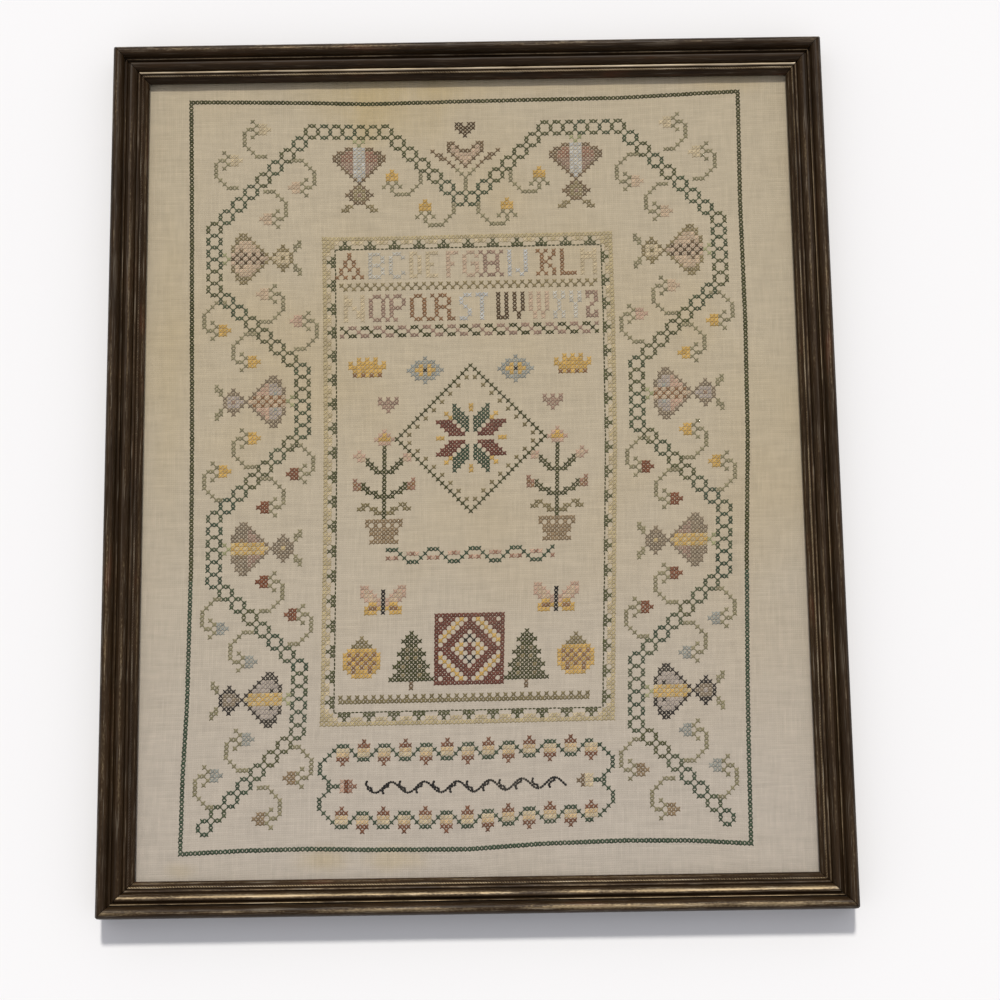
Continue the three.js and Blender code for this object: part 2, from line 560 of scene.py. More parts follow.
@dataclass(frozen=True)
class WoodFinish:
    """Dark stained wood, streaky along the rail, its ridges lightly rubbed with bronze and lit by painted
    highlight lines.
    """

    ground: tuple = linear(25, 16, 6)
    brown: tuple = linear(60, 43, 24)
    bronze: tuple = linear(158, 139, 108)
    bronze_share: float = 0.85
    fleck: tuple = linear(214, 200, 176)
    red: tuple = linear(84, 44, 26)
    streaks: Grain = Grain((20.0, 1700.0, 1700.0), 3.0, 0.6)
    patches: Grain = Grain((16.0, 60.0, 60.0), 3.0, 0.55)
    specks: Grain = Grain((560.0, 1500.0, 1500.0))
    chips: Grain = Grain((60.0, 500.0, 500.0), 4.0, 0.65)
    scratches: Grain = Grain((48.0, 2200.0, 2200.0))
    rubbed_through: float = 1.1
    streakiness: float = 0.9
    mottling: float = 0.85
    roughness: float = 0.3
    roughness_spread: float = 0.25
    specular: float = 0.14
    streak_depth: float = 0.12 * MM
    rope_pitch: float = 1.5 * MM
    rope_slant: float = 1.2
    rope_depth: float = 2.0

    def material(self) -> bpy.types.Material:
        """Builds the finish.

        Returns:
            The rails' material. It reads each vertex's place in its rail and how exposed it is, which also
            carries each side's painted highlight.
        """
        bench = Bench("moulding_wood")
        rail = bench.attribute("rail_place", "Vector")
        crest = bench.attribute("crest")
        kinds = (self.streaks, self.patches, self.specks, self.chips, self.scratches)
        streak, patch, speck, chip, scratch = (kind.over(rail) for kind in kinds)
        rope = self._rope(bench, rail) * bench.attribute("rope")
        wear = crest * (patch.ease(0.3, 0.66) * 0.9 + 0.5)
        grain = (streak - 0.5) * self.streakiness + (speck - 0.5) * self.mottling
        # The bronze on the ridges is partly real rubbing and partly painted highlight, brighter on the
        # members and sides that face the light.
        bronze_and_highlight = (wear + grain - rope * 0.5).ease(0.25, 1.1)
        brown = (streak * 0.7 + patch * 0.6 + crest * 0.3).ease(0.3, 1.05)
        colour = bench.mix(self.ground, self.brown, brown)
        colour = bench.mix(colour, self.red, patch.ease(0.6, 0.72) * 0.6)
        colour = bench.mix(colour, self.bronze, bronze_and_highlight * self.bronze_share)
        worn = speck.ease(0.76, 0.84) * crest.ease(0.3, 0.8) * 0.7
        scraped = scratch.ease(0.58, 0.7) * (wear * 0.45 + 0.05)
        bare = (wear - self.rubbed_through).ease(0.0, 0.7) * 0.7
        # Pale chips on the bead's outer edge, partly wear and partly painted highlight.
        chipped = chip.ease(0.56, 0.66) * bench.attribute("edge")
        height = streak + patch * 0.6 + scratch * 0.3 - rope * self.rope_depth
        inputs = {
            "Base Color": bench.mix(colour, self.fleck, worn.larger(scraped).larger(bare).larger(chipped)),
            "Roughness": self.roughness + streak * self.roughness_spread,
            "Metallic": bronze_and_highlight * 0.5,
            "Specular IOR Level": self.specular,
            "Normal": bench.bump(height, self.streak_depth),
        }
        return bench.surface(inputs)

    def _rope(self, bench: Bench, rail: Sock) -> Sock:
        """The slanting grooves of the roped reed, 1 in a groove and 0 on a strand."""
        along, inward, _ = bench.split(rail)
        turns = (along + inward * self.rope_slant) / self.rope_pitch
        return 1 - abs((turns * math.pi).sine())


@dataclass(frozen=True)
class GlassFinish:
    """Thin clear picture glass: it lets the cloth through and adds a faint gloss."""

    tint: tuple = (0.985, 0.99, 0.985, 1.0)
    shine: tuple = (1.0, 1.0, 1.0, 1.0)
    roughness: float = 0.08
    gloss: float = 0.012
    haze: float = 0.5
    dust_scale: float = 30.0

    def material(self) -> bpy.types.Material:
        """Builds the finish.

        Returns:
            The pane's material.
        """
        bench = Bench("picture_glass")
        dust = bench.noise(bench.object_place(), self.dust_scale, 4.0)
        clear = bench.node("BsdfTransparent", inputs={"Color": self.tint})
        shine = bench.node("BsdfGlossy", inputs={"Color": self.shine, "Roughness": self.roughness})
        share = dust * self.haze * self.gloss + self.gloss * (1 - self.haze / 2)
        return bench.finish(bench.node("MixShader", inputs={0: share, 1: clear, 2: shine}))


@dataclass(frozen=True)
class BoardFinish:
    """Plain brown backing board with faint fibres."""

    pale: tuple = linear(150, 128, 98)
    dark: tuple = linear(112, 92, 68)
    fibres: Grain = Grain((300.0, 40.0, 300.0), 4.0, 0.7)
    fibre_depth: float = 0.1 * MM
    blotch_scale: float = 18.0
    roughness: float = 0.8

    def material(self) -> bpy.types.Material:
        """Builds the finish.

        Returns:
            The board's material.
        """
        bench = Bench("backing_board")
        place = bench.object_place()
        fibre = self.fibres.over(place)
        blotch = bench.noise(place, self.blotch_scale, 3.0)
        inputs = {
            "Base Color": bench.mix(self.dark, self.pale, fibre * 0.6 + blotch * 0.4),
            "Roughness": self.roughness + fibre * 0.1,
            "Normal": bench.bump(fibre, self.fibre_depth),
        }
        return bench.surface(inputs)


@dataclass(frozen=True)
class FloorFinish:
    """A plain, pale, matt floor."""

    colour: tuple = (0.9, 0.9, 0.9, 1.0)
    roughness: float = 0.9

    def material(self) -> bpy.types.Material:
        """Builds the finish and gives the floor's material."""
        return Bench("pale_floor").surface({"Base Color": self.colour, "Roughness": self.roughness})


@dataclass(frozen=True)
class Studio:
    """The camera at the photograph's angle, soft lights and a pale floor."""

    image_width: float = 1000.0
    focal_pixels: float = 1950.0
    sensor_width: float = 36.0
    camera_place: tuple = (0.01645, -0.21684, 1.08879)
    camera_turn: tuple = (10.262, 0.208, -0.831)
    floor_size: float = 60.0
    floor_drop: float = 0.4 * MM
    sky_colour: tuple = (0.94, 0.94, 1.0, 1.0)
    sky_strength: float = 0.53
    key_colour: tuple = (1.0, 0.97, 0.92)
    key_strength: float = 2.27
    key_spread: float = 0.1
    key_elevation: float = 53.0

    def build(self) -> None:
        """Sets up the camera, the lights, the sky and the floor."""
        self._camera()
        self._key()
        self._sky()
        self._floor()
        bpy.context.scene.view_settings.view_transform = "Standard"

    def _camera(self) -> None:
        """Adds the camera, level with the pose that the photograph was solved for."""
        data = bpy.data.cameras.new("camera")
        data.sensor_width = self.sensor_width
        data.lens = self.focal_pixels / self.image_width * self.sensor_width
        data.clip_start = 0.01
        camera = bpy.data.objects.new("camera", data)
        camera.location = self.camera_place
        camera.rotation_euler = [math.radians(angle) for angle in self.camera_turn]
        bpy.context.scene.collection.objects.link(camera)
        bpy.context.scene.camera = camera

    def _key(self) -> None:
        """Adds the key light, which falls from beyond the picture's top edge."""
        data = bpy.data.lights.new("window_light", "SUN")
        data.color = self.key_colour
        data.energy = self.key_strength
        data.angle = self.key_spread
        light = bpy.data.objects.new("window_light", data)
        light.rotation_euler.x = math.radians(self.key_elevation - 90)
        bpy.context.scene.collection.objects.link(light)

    def _sky(self) -> None:
        """Fills the surroundings with even pale light."""
        world = bpy.data.worlds.new("studio")
        world.use_nodes = True
        sky = world.node_tree.nodes["Background"]
        sky.inputs["Color"].default_value = self.sky_colour
        sky.inputs["Strength"].default_value = self.sky_strength
        bpy.context.scene.world = world

    def _floor(self) -> None:
        """Lays a wide floor just under the frame's back."""
        clear_selection()
        bpy.ops.mesh.primitive_plane_add(size=self.floor_size, location=(0, 0, -self.floor_drop))
        floor = bpy.context.object
        floor.name = "floor"
        settle(floor)
        floor.data.materials.append(FloorFinish().material())


@dataclass(frozen=True)
class Member:
    """One member of the moulding's face, from the outer edge inwards."""

    end: float
    foot: float
    swell: float


@dataclass(frozen=True)
class Side:
    """One side of the frame: its rail's name, how the blank is turned, how worn each member is with its
    painted highlight, and its outer edge's wear and painted highlight.
    """

    name: str
    upright: bool
    turn: float
    rubbing_and_highlight: tuple[float, ...]
    edge_wear_and_highlight: float


@dataclass(frozen=True)
class Moulding:
    """The four mitred rails, all cut from one reeded blank."""

    width: float = 412 * MM
    height: float = 498 * MM
    depth: float = 21 * MM
    corner_radius: float = 2.6 * MM
    rail_width: float = 19.7 * MM
    web: float = 13.3 * MM
    lip_underside: float = 7.8 * MM
    bead_spring: float = 16.2 * MM
    joint_gap: float = 0.3 * MM
    columns: int = 166
    curve_steps: int = 8
    corner_steps: int = 8
    smooth_below: float = math.radians(32)
    touching: float = 1e-6
    face_above: float = 1.1
    wall: float = 0.4 * MM
    waviness: float = 0.07 * MM
    wave_lengths: tuple[float, ...] = (83 * MM, 31 * MM, 12.5 * MM, 6.1 * MM)
    wave_power: float = 0.4
    wave_lean: float = 900.0
    # Narrows each member's crest to a thin line, the width of its painted highlight.
    ridge_power: int = 4
    chipped_share: float = 0.4
    rounding: float = 1.5 * MM
    members: tuple[Member, ...] = (
        Member(6.5 * MM, 16.2 * MM, 4.8 * MM),
        Member(7.2 * MM, 16.2 * MM, -0.3 * MM),
        Member(8.1 * MM, 15.8 * MM, 0.9 * MM),
        Member(8.9 * MM, 15.2 * MM, -0.4 * MM),
        Member(13.7 * MM, 12.9 * MM, 2.6 * MM),
        Member(15.6 * MM, 12.2 * MM, 1.0 * MM),
        Member(17.5 * MM, 11.4 * MM, 1.0 * MM),
        Member(19.7 * MM, 8.9 * MM, 0.3 * MM),
    )
    roped_member: int = 6
    # Rubbing differs from side to side with how the light falls on each rail, so it is partly painted
    # highlight.
    sides: tuple[Side, ...] = (
        Side("rail_top", False, 0.0, (0.4, 0.0, 0.7, 0.0, 0.05, 2.1, 1.1, 0.1), 1.0),
        Side("rail_left", True, math.pi / 2, (0.35, 0.0, 0.4, 0.0, 0.4, 0.3, 0.4, 0.4), 0.3),
        Side("rail_bottom", False, math.pi, (0.75, 0.0, 0.95, 0.0, 0.95, 0.45, 1.0, 0.45), 0.15),
        Side("rail_right", True, -math.pi / 2, (0.35, 0.0, 0.8, 0.0, 0.4, 0.45, 0.8, 0.4), 0.2),
    )

    def build(self) -> list[bpy.types.Object]:
        """Makes the blank, cuts the four rails from it and dresses them.

        Returns:
            The four rails.
        """
        blank = self._blank()
        wood = WoodFinish().material()
        rails = [self._rail(blank, side, wood) for side in self.sides]
        bpy.data.objects.remove(blank, do_unlink=True)
        return rails

    def _section(self) -> list[Point]:
        """Traces the moulding's face and lip.

        Returns:
            Points of inward distance and height, from the outer wall's foot round to the web.
        """
        points = [(0.0, 0.0), (0.0, self.bead_spring)]
        start = 0.0
        foot = self.bead_spring
        for member in self.members:
            handle = member.swell * 4 / 3
            for step in range(1, self.curve_steps + 1):
                t = step / self.curve_steps
                lean = 3 * t * t - 2 * t * t * t
                inward = start * (1 - t) ** 3 + 3 * start * t * (1 - t) ** 2
                inward += 3 * member.end * t * t * (1 - t) + member.end * t**3
                rise = foot + (member.foot - foot) * lean + 3 * handle * t * (1 - t)
                points.append((inward, rise))
            start = member.end
            foot = member.foot
        points += [(self.rail_width, self.lip_underside), (self.web, self.lip_underside), (self.web, 0.0)]
        return points

    def _blank(self) -> bpy.types.Object:
        """Sweeps the back strip's outer edge round the section, as long as the longest rail.

        Returns:
            The blank, its outer edge along y = 0 and its ends open.
        """
        clear_selection()
        bpy.ops.mesh.primitive_grid_add(
            x_subdivisions=self.columns, y_subdivisions=1, size=1, location=(0, -self.web / 2, 0)
        )
        blank = bpy.context.object
        blank.scale = (self.height, self.web, 1)
        settle(blank)
        bpy.ops.object.mode_set(mode="EDIT")
        pick(blank, "edges", lambda middle: middle.y > -self.touching)
        points = self._section()
        for (inward, height), (next_inward, next_height) in zip(points, points[1:]):
            pull_out((0, inward - next_inward, next_height - height))
        bpy.ops.mesh.select_all(action="SELECT")
        bpy.ops.mesh.remove_doubles(threshold=self.touching)
        bpy.ops.mesh.normals_make_consistent(inside=False)
        bpy.ops.object.mode_set(mode="OBJECT")
        return blank

    def _rail(self, blank: bpy.types.Object, side: Side, wood: bpy.types.Material) -> bpy.types.Object:
        """Cuts one rail from a copy of the blank and turns it to its side.

        Args:
            blank: The blank.
            side: The side that the rail is for.
            wood: The rails' material.

        Returns:
            The finished rail.
        """
        length = self.height if side.upright else self.width
        breadth = self.width if side.upright else self.height
        rail = bpy.data.objects.new(side.name + "_wood", blank.data.copy())
        bpy.context.scene.collection.objects.link(rail)
        self._cut_mitres(rail, length)
        self._round_corners(rail, length, breadth)
        self._roughen(rail, side)
        self._note_members(rail, side)
        rail.rotation_euler.z = side.turn
        rail.location = Matrix.Rotation(side.turn, 3, "Z") @ Vector((0, breadth / 2, 0))
        settle(rail)
        bpy.ops.object.shade_smooth_by_angle(angle=self.smooth_below)
        rail.data.materials.append(wood)
        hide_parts(side.name)
        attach(rail, BODY)
        log.info("%s: %d faces", rail.name, len(rail.data.polygons))
        return rail

    def _cut_mitres(self, rail: bpy.types.Object, length: float) -> None:
        """Cuts both ends at 45 degrees, set back by half of the joint's gap."""
        make_active(rail)
        bpy.ops.object.mode_set(mode="EDIT")
        reach = length / 2 - self.joint_gap / math.sqrt(2)
        for end in (1, -1):
            bpy.ops.mesh.select_all(action="SELECT")
            bpy.ops.mesh.bisect(
                plane_co=(end * reach, 0, 0), plane_no=(end, -1, 0), use_fill=True, clear_outer=True
            )
        bpy.ops.mesh.select_all(action="SELECT")
        bpy.ops.mesh.normals_make_consistent(inside=False)
        bpy.ops.object.mode_set(mode="OBJECT")

    def _round_corners(self, rail: bpy.types.Object, length: float, breadth: float) -> None:
        """Trims the rail to the frame's rounded outer corners."""
        clear_selection()
        bpy.ops.mesh.primitive_cube_add(size=1, location=(0, -breadth / 2, self.depth / 2))
        plate = bpy.context.object
        plate.scale = (length, breadth, self.depth * 2)
        settle(plate)
        bpy.ops.object.mode_set(mode="EDIT")
        mid = self.depth / 2
        pick(plate, "edges", lambda middle: abs(middle.z - mid) < mid / 2)
        bpy.ops.mesh.bevel(offset=self.corner_radius, segments=self.corner_steps, affect="EDGES")
        bpy.ops.object.mode_set(mode="OBJECT")
        make_active(rail)
        trim = rail.modifiers.new("trim", "BOOLEAN")
        trim.operation = "INTERSECT"
        trim.object = plate
        bpy.ops.object.modifier_apply(modifier=trim.name)
        bpy.data.objects.remove(plate, do_unlink=True)

    def _roughen(self, rail: bpy.types.Object, side: Side) -> None:
        """Gives the ridges a slight waviness, as worn by hand, away from walls and mitres."""
        points = places(rail.data)
        draw = random.Random(side.name)
        inward = -points[:, 1]
        face = self._is_face(points) & (inward > self.wall)
        wave = np.zeros(len(points))
        for length in self.wave_lengths:
            phase = draw.uniform(0, 2 * math.pi)
            turn = points[:, 0] / length * 2 * math.pi + phase + inward * self.wave_lean
            wave += np.sin(turn) * length**self.wave_power
        points[:, 2] += face * wave * self.waviness
        set_places(rail.data, points)

    def _note_members(self, rail: bpy.types.Object, side: Side) -> None:
        """Keeps each vertex's place in the rail, and how exposed it is with its side's painted highlight,
        for the finish.

        Args:
            rail: The rail, still in its own place.
            side: The side that the rail is for.
        """
        points = places(rail.data)
        note_points(rail.data, "rail_place", points)
        inward = -points[:, 1]
        face = self._is_face(points)
        crest = np.zeros(len(points))
        rope = np.zeros(len(points))
        start = 0.0
        for number, member in enumerate(self.members):
            share = np.clip((inward - start) / (member.end - start), 0, 1)
            ridge = np.sin(share * math.pi)
            crest = np.maximum(crest, ridge**self.ridge_power * side.rubbing_and_highlight[number])
            if number == self.roped_member:
                rope = ridge
            start = member.end
        outer = np.clip(1 - inward / (self.members[0].end * self.chipped_share), 0, 1)
        rounding = np.clip((points[:, 2] - self.bead_spring) / self.rounding, 0, 1)
        note_points(rail.data, "crest", crest * face)
        note_points(rail.data, "rope", rope * face)
        # The edge's chips are partly wear and partly painted highlight, strongest on the rail whose outer
        # edge faces the light.
        note_points(rail.data, "edge", outer * rounding * side.edge_wear_and_highlight)

    def _is_face(self, points: np.ndarray) -> np.ndarray:
        """Tells the vertices of the moulded face from the others."""
        return points[:, 2] > self.lip_underside * self.face_above


@dataclass(frozen=True)
class Curve:
    """Figures at places along one axis, read in straight lines between them."""

    places: tuple[float, ...]
    figures: tuple[float, ...]

    def at(self, places: np.ndarray) -> np.ndarray:
        """The figure at any places."""
        return np.interp(places, self.places, self.figures)


def millimetres(*lengths: float) -> tuple[float, ...]:
    """Turns millimetres into metres."""
    return tuple(length * MM for length in lengths)


STATION_ROWS = (-10, 0, 29, 58, 87, 116, 149, 165, 182, 192)
SAG_COLUMNS = (0, 15, 30, 43, 67, 85, 105, 120, 134)


@dataclass(frozen=True)
class StitchGrid:
    """The counted grid of crosses, as the hand-stretched linen really holds it.

    The stations give each row's height on the cloth and where its two ends lie. The sags give how
    far a column is off the straight near the top and near the bottom. The bows push columns to the
    right, and the panel curves lower the rows at the panel's head.
    """

    last_column: int = 134
    last_row: int = 182
    centre: int = 67
    tilt: float = 1.1 * MM
    top_reach: float = 45.0
    bottom_reach: float = 30.0
    level: Curve = Curve(
        STATION_ROWS,
        millimetres(241.8, 218.2, 149.9, 81.6, 13.3, -55.0, -132.7, -171.6, -213.0, -237.3),
    )
    left: Curve = Curve(
        STATION_ROWS,
        millimetres(-162.4, -162.3, -161.0, -160.1, -159.1, -158.7, -159.9, -161.8, -162.5, -162.5),
    )
    right: Curve = Curve(
        STATION_ROWS,
        millimetres(158.4, 158.3, 157.3, 157.7, 156.6, 153.5, 151.2, 150.5, 150.0, 150.0),
    )
    top_sag: Curve = Curve(SAG_COLUMNS, millimetres(2.1, 1.2, 0.0, -1.4, -0.9, -0.8, -0.8, 0.5, 1.7))
    bottom_sag: Curve = Curve(SAG_COLUMNS, millimetres(-0.8, 0.3, 0.5, -0.6, -1.5, 0.6, 1.4, 0.6, -1.7))
    panel_rows: Curve = Curve((30, 37, 41, 50, 58, 70), millimetres(0.0, -1.3, -0.7, -0.6, -0.3, 0.0))
    panel_columns: Curve = Curve((28, 34, 100, 106), (0.0, 1.0, 1.0, 0.0))
    panel_bow: Curve = Curve((8, 30, 43, 74, 90, 100), millimetres(0.0, 0.6, 1.0, 0.8, 0.2, 0.0))
    foot_bow: Curve = Curve(
        (8, 28, 33, 37, 47, 67, 77, 87, 97, 106, 112),
        millimetres(0.0, 0.5, 1.2, 1.8, 1.3, 1.0, 0.0, -0.3, -1.0, -0.4, 0.0),
    )
    bow_rows: Curve = Curve((30, 37), (0.0, 1.0))
    foot_rows: Curve = Curve((120, 155), (0.0, 1.0))
    rounds: int = 4

    def _lift(self, columns: np.ndarray, rows: np.ndarray) -> np.ndarray:
        """How far places lie above their row's level."""
        near_top = np.clip(1 - rows / self.top_reach, 0, 1)
        near_bottom = np.clip(1 - (self.last_row - rows) / self.bottom_reach, 0, 1)
        slant = (2 * columns / self.last_column - 1) * self.tilt
        panel = self.panel_rows.at(rows) * self.panel_columns.at(columns)
        sag = self.top_sag.at(columns) * near_top + self.bottom_sag.at(columns) * near_bottom
        return sag + slant + panel

    def _bow(self, columns: np.ndarray, rows: np.ndarray) -> np.ndarray:
        """How far places lie to the right of their column's straight line."""
        panel = self.panel_bow.at(columns)
        bow = panel + (self.foot_bow.at(columns) - panel) * self.foot_rows.at(rows)
        return bow * self.bow_rows.at(rows)

    def place(self, columns: np.ndarray, rows: np.ndarray) -> tuple[np.ndarray, np.ndarray]:
        """Finds where grid places lie on the cloth.

        Args:
            columns: Grid columns, whole numbers at the crosses' middles.
            rows: Grid rows, downwards.

        Returns:
            Their x and y on the cloth.
        """
        left = self.left.at(rows)
        x = left + (self.right.at(rows) - left) * columns / self.last_column + self._bow(columns, rows)
        return x, self.level.at(rows) + self._lift(columns, rows)

    def count(self, x: np.ndarray, y: np.ndarray) -> tuple[np.ndarray, np.ndarray]:
        """Finds the grid place under points of the cloth, in a few rounds.

        Args:
            x: The points' x on the cloth.
            y: Their y.

        Returns:
            Their columns and rows.
        """
        row_at = Curve(tuple(-height for height in self.level.figures), self.level.places)
        rows = row_at.at(-y)
        columns = np.zeros_like(rows)
        for _ in range(self.rounds):
            left = self.left.at(rows)
            columns = (x - self._bow(columns, rows) - left) / (self.right.at(rows) - left) * self.last_column
            rows = row_at.at(self._lift(columns, rows) - y)
        return columns, rows


@dataclass(frozen=True)
class Linen:
    """The stretched linen, slack along its top edge, its UV map counted in crosses."""

    grid: StitchGrid
    columns: int = 104
    rows: int = 128
    thickness: float = 0.9 * MM
    margin: float = 16.0
    pucker_height: float = 0.3 * MM
    pucker_pitch: float = 47 * MM
    pucker_drift: float = 29 * MM
    pucker_reach: float = 38 * MM
    solid_top: float = 4.9 * MM
    smooth_below: float = math.radians(40)

    def top_at(self, x: np.ndarray, y: np.ndarray) -> np.ndarray:
        """Height of the cloth's face.

        Args:
            x: Places across the cloth.
            y: Places up the cloth.

        Returns:
            The face's height at those places.
        """
        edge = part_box("sampler_cloth")[1][1]
        wave = np.cos(x / self.pucker_pitch * 2 * math.pi)
        wave = wave + np.cos(x / self.pucker_drift * 2 * math.pi + 1)
        fade = np.exp((y - edge) / self.pucker_reach)
        return self.solid_top + self.pucker_height * fade * (0.5 + wave / 4)

    def build(self, needlework: Sequence[bpy.types.Object]) -> bpy.types.Object:
        """Args:
            needlework: The stitched pieces that the cloth carries. Not used.

        Returns:
            The cloth.
        """
        low, high = (Vector(corner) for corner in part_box("sampler_cloth"))
        size = high - low
        clear_selection()
        bpy.ops.mesh.primitive_grid_add(x_subdivisions=self.columns, y_subdivisions=self.rows, size=1)
        cloth = bpy.context.object
        cloth.name = "linen"
        cloth.scale = (size.x, size.y, 1)
        settle(cloth)
        points = places(cloth.data)
        points[:, 2] = self.top_at(points[:, 0], points[:, 1])
        set_places(cloth.data, points)
        self._map_threads(cloth.data, points)
        self._thicken(cloth)
        bpy.ops.object.shade_smooth_by_angle(angle=self.smooth_below)
        columns = self.grid.last_column + 2 * self.margin
        rows = self.grid.last_row + 2 * self.margin
        cloth.data.materials.append(LinenFinish(columns, rows).material())
        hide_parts("sampler_cloth")
        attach(cloth, BODY)
        log.info("linen: %d faces", len(cloth.data.polygons))
        return cloth

    def _map_threads(self, mesh: bpy.types.Mesh, points: np.ndarray) -> None:
        """Writes the UV map, so that the weave runs with the crosses."""
        columns, rows = self.grid.count(points[:, 0], points[:, 1])
        across = (columns + 0.5 + self.margin) / (self.grid.last_column + 2 * self.margin)
        down = (rows + 0.5 + self.margin) / (self.grid.last_row + 2 * self.margin)
        note_uv(mesh, np.stack([across, down], 1))

    def _thicken(self, cloth: bpy.types.Object) -> None:
        """Gives the cloth its thickness, downwards from its face."""
        make_active(cloth)
        body = cloth.modifiers.new("body", "SOLIDIFY")
        body.thickness = self.thickness
        body.offset = -1
        bpy.ops.object.modifier_apply(modifier=body.name)


@dataclass(frozen=True)
class ThreadArm:
    """One stitch's thread, modelled once: two units long, two wide and one high."""

    plateau: float = 0.4
    end_width: float = 0.62
    end_dip: float = -0.55
    crown_width: float = 0.52
    slack: float = 0.01

    def build(self) -> tuple[np.ndarray, list[list[int]], np.ndarray]:
        """Models the arm from a block with bent, tapered ends.

        Returns:
            Its vertices, its faces and the UV of each vertex, along and across the thread.
        """
        clear_selection()
        bpy.ops.mesh.primitive_cube_add(size=1, location=(0, 0, 0.5))
        arm = bpy.context.object
        arm.scale = (2 * self.plateau, 2, 1)
        settle(arm)
        bpy.ops.object.mode_set(mode="EDIT")
        for end in (1, -1):
            pick(arm, "faces", lambda middle: middle.x * end > self.plateau - self.slack)
            pull_out((end * (1 - self.plateau), 0, self.end_dip))
            bpy.ops.transform.resize(value=(1, self.end_width, 1))
        pick(arm, "verts", lambda place: place.z > self.end_dip / 2 and self._is_crown(place))
        bpy.ops.transform.resize(value=(1, self.crown_width, 1))
        bpy.ops.object.mode_set(mode="OBJECT")
        points = places(arm.data)
        faces = [list(face.vertices) for face in arm.data.polygons]
        bpy.data.objects.remove(arm, do_unlink=True)
        uv = np.stack([(points[:, 0] + 1) / 2, (points[:, 1] + 1) / 2], 1)
        return points, faces, uv

    def _is_crown(self, place: Vector) -> bool:
        """Tells the arm's upper vertices from its lower ones."""
        bend = self.end_dip if abs(place.x) > self.plateau + self.slack else 0.0
        return place.z - bend > 0.5


@dataclass(frozen=True)
class Stitch:
    """One straight thread between two holes of the linen."""

    start: Point
    end: Point
    floss: Floss
    height: float
    half_width: float
    shade: float


class Turn(Enum):
    """The way that a chart's rows run on the cloth."""

    DOWN = (1, 0, 0, 1)
    RIGHT = (0, 1, 1, 0)
    LEFT = (0, -1, 1, 0)
    MIRRORED = (-1, 0, 0, 1)
    UPTURNED = (1, 0, 0, -1)
    ROTATED = (-1, 0, 0, -1)

    def place(self, across: int, down: int) -> Cell:
        """Turns one chart place into steps of columns and rows."""
        a, b, c, d = self.value
        return a * across + b * down, c * across + d * down


def charted(
    rows: Sequence[str], legend: Mapping[str, Floss], origin: Cell = (0, 0), turn: Turn = Turn.DOWN
) -> Iterable[tuple[int, int, Floss]]:
    """Reads a chart, a letter for each cross and a dot for bare cloth, row by row.

    Args:
        rows: The chart.
        legend: The thread for each letter.
        origin: The place in the chart that the steps start from, across and down.
        turn: How the chart is turned.

    Yields:
        The steps to a cross, in columns and rows, and its thread.
    """
    for down, line in enumerate(rows):
        for across, letter in enumerate(line):
            if letter in legend:
                yield *turn.place(across - origin[0], down - origin[1]), legend[letter]


@dataclass
class Book:
    """The stitches of one piece of needlework, whose crosses keep clear of the cells taken."""

    taken: set[Cell]
    draw: random.Random
    half_width: float = 0.51 * MM
    width_range: Point = (0.86, 1.14)
    under_height: float = 0.28 * MM
    over_height: float = 0.46 * MM
    over_arm_highlight: float = 0.2
    full: frozenset[Floss] = frozenset({Floss.GOLD, Floss.RED, Floss.BRICK})
    fullness: float = 1.25
    stitches: list[Stitch] = field(default_factory=list)

    def cross(self, column: float, row: float, floss: Floss) -> None:
        """Works one cross, unless its cell is taken.

        Args:
            column: The cross's column, which may lie between two cells.
            row: Its row.
            floss: The thread.
        """
        cell = (math.floor(column + 0.5), math.floor(row + 0.5))
        if cell in self.taken:
            return
        self.taken.add(cell)
        shade = self.draw.random() * (1 - self.over_arm_highlight)
        width = self.half_width * self.draw.uniform(*self.width_range)
        if floss in self.full:
            width *= self.fullness
        fall = ((column - 0.5, row - 0.5), (column + 0.5, row + 0.5))
        rise = ((column - 0.5, row + 0.5), (column + 0.5, row - 0.5))
        self.stitches.append(Stitch(*fall, floss, self.under_height, width, shade))
        # The upper arm's shade is raised, a painted highlight on the thread that lies on top.
        self.stitches.append(Stitch(*rise, floss, self.over_height, width, shade + self.over_arm_highlight))

    def crosses(self, cells: Iterable[Cell], floss: Floss) -> None:
        """Works a cross in each cell."""
        for column, row in cells:
            self.cross(column, row, floss)

    def straight(self, start: Point, end: Point, floss: Floss, width: float = 0.8) -> None:
        """Works one straight stitch.

        Args:
            start: Grid place of the hole that it comes up through.
            end: Grid place of the hole that it goes down through.
            floss: The thread.
            width: The thread's width, as a share of a cross's.
        """
        shade = self.draw.random()
        self.stitches.append(Stitch(start, end, floss, self.under_height, self.half_width * width, shade))

    def chart(
        self,
        rows: Sequence[str],
        column: int,
        row: int,
        legend: Mapping[str, Floss] = LEGEND,
        turn: Turn = Turn.DOWN,
    ) -> None:
        """Works a chart.

        Args:
            rows: The chart.
            column: The grid column of the chart's first row's middle letter.
            row: The grid row of that letter.
            legend: The thread for each letter.
            turn: How the chart is turned.
        """
        for right, down, floss in charted(rows, legend, (len(rows[0]) // 2, 0), turn):
            self.cross(column + right, row + down, floss)


def whole(half: Sequence[str]) -> list[str]:
    """Mirrors a chart's left half about its last letter.

    Args:
        half: The left half with the middle column last.

    Returns:
        The whole chart.
    """
    return [line + line[-2::-1] for line in half]


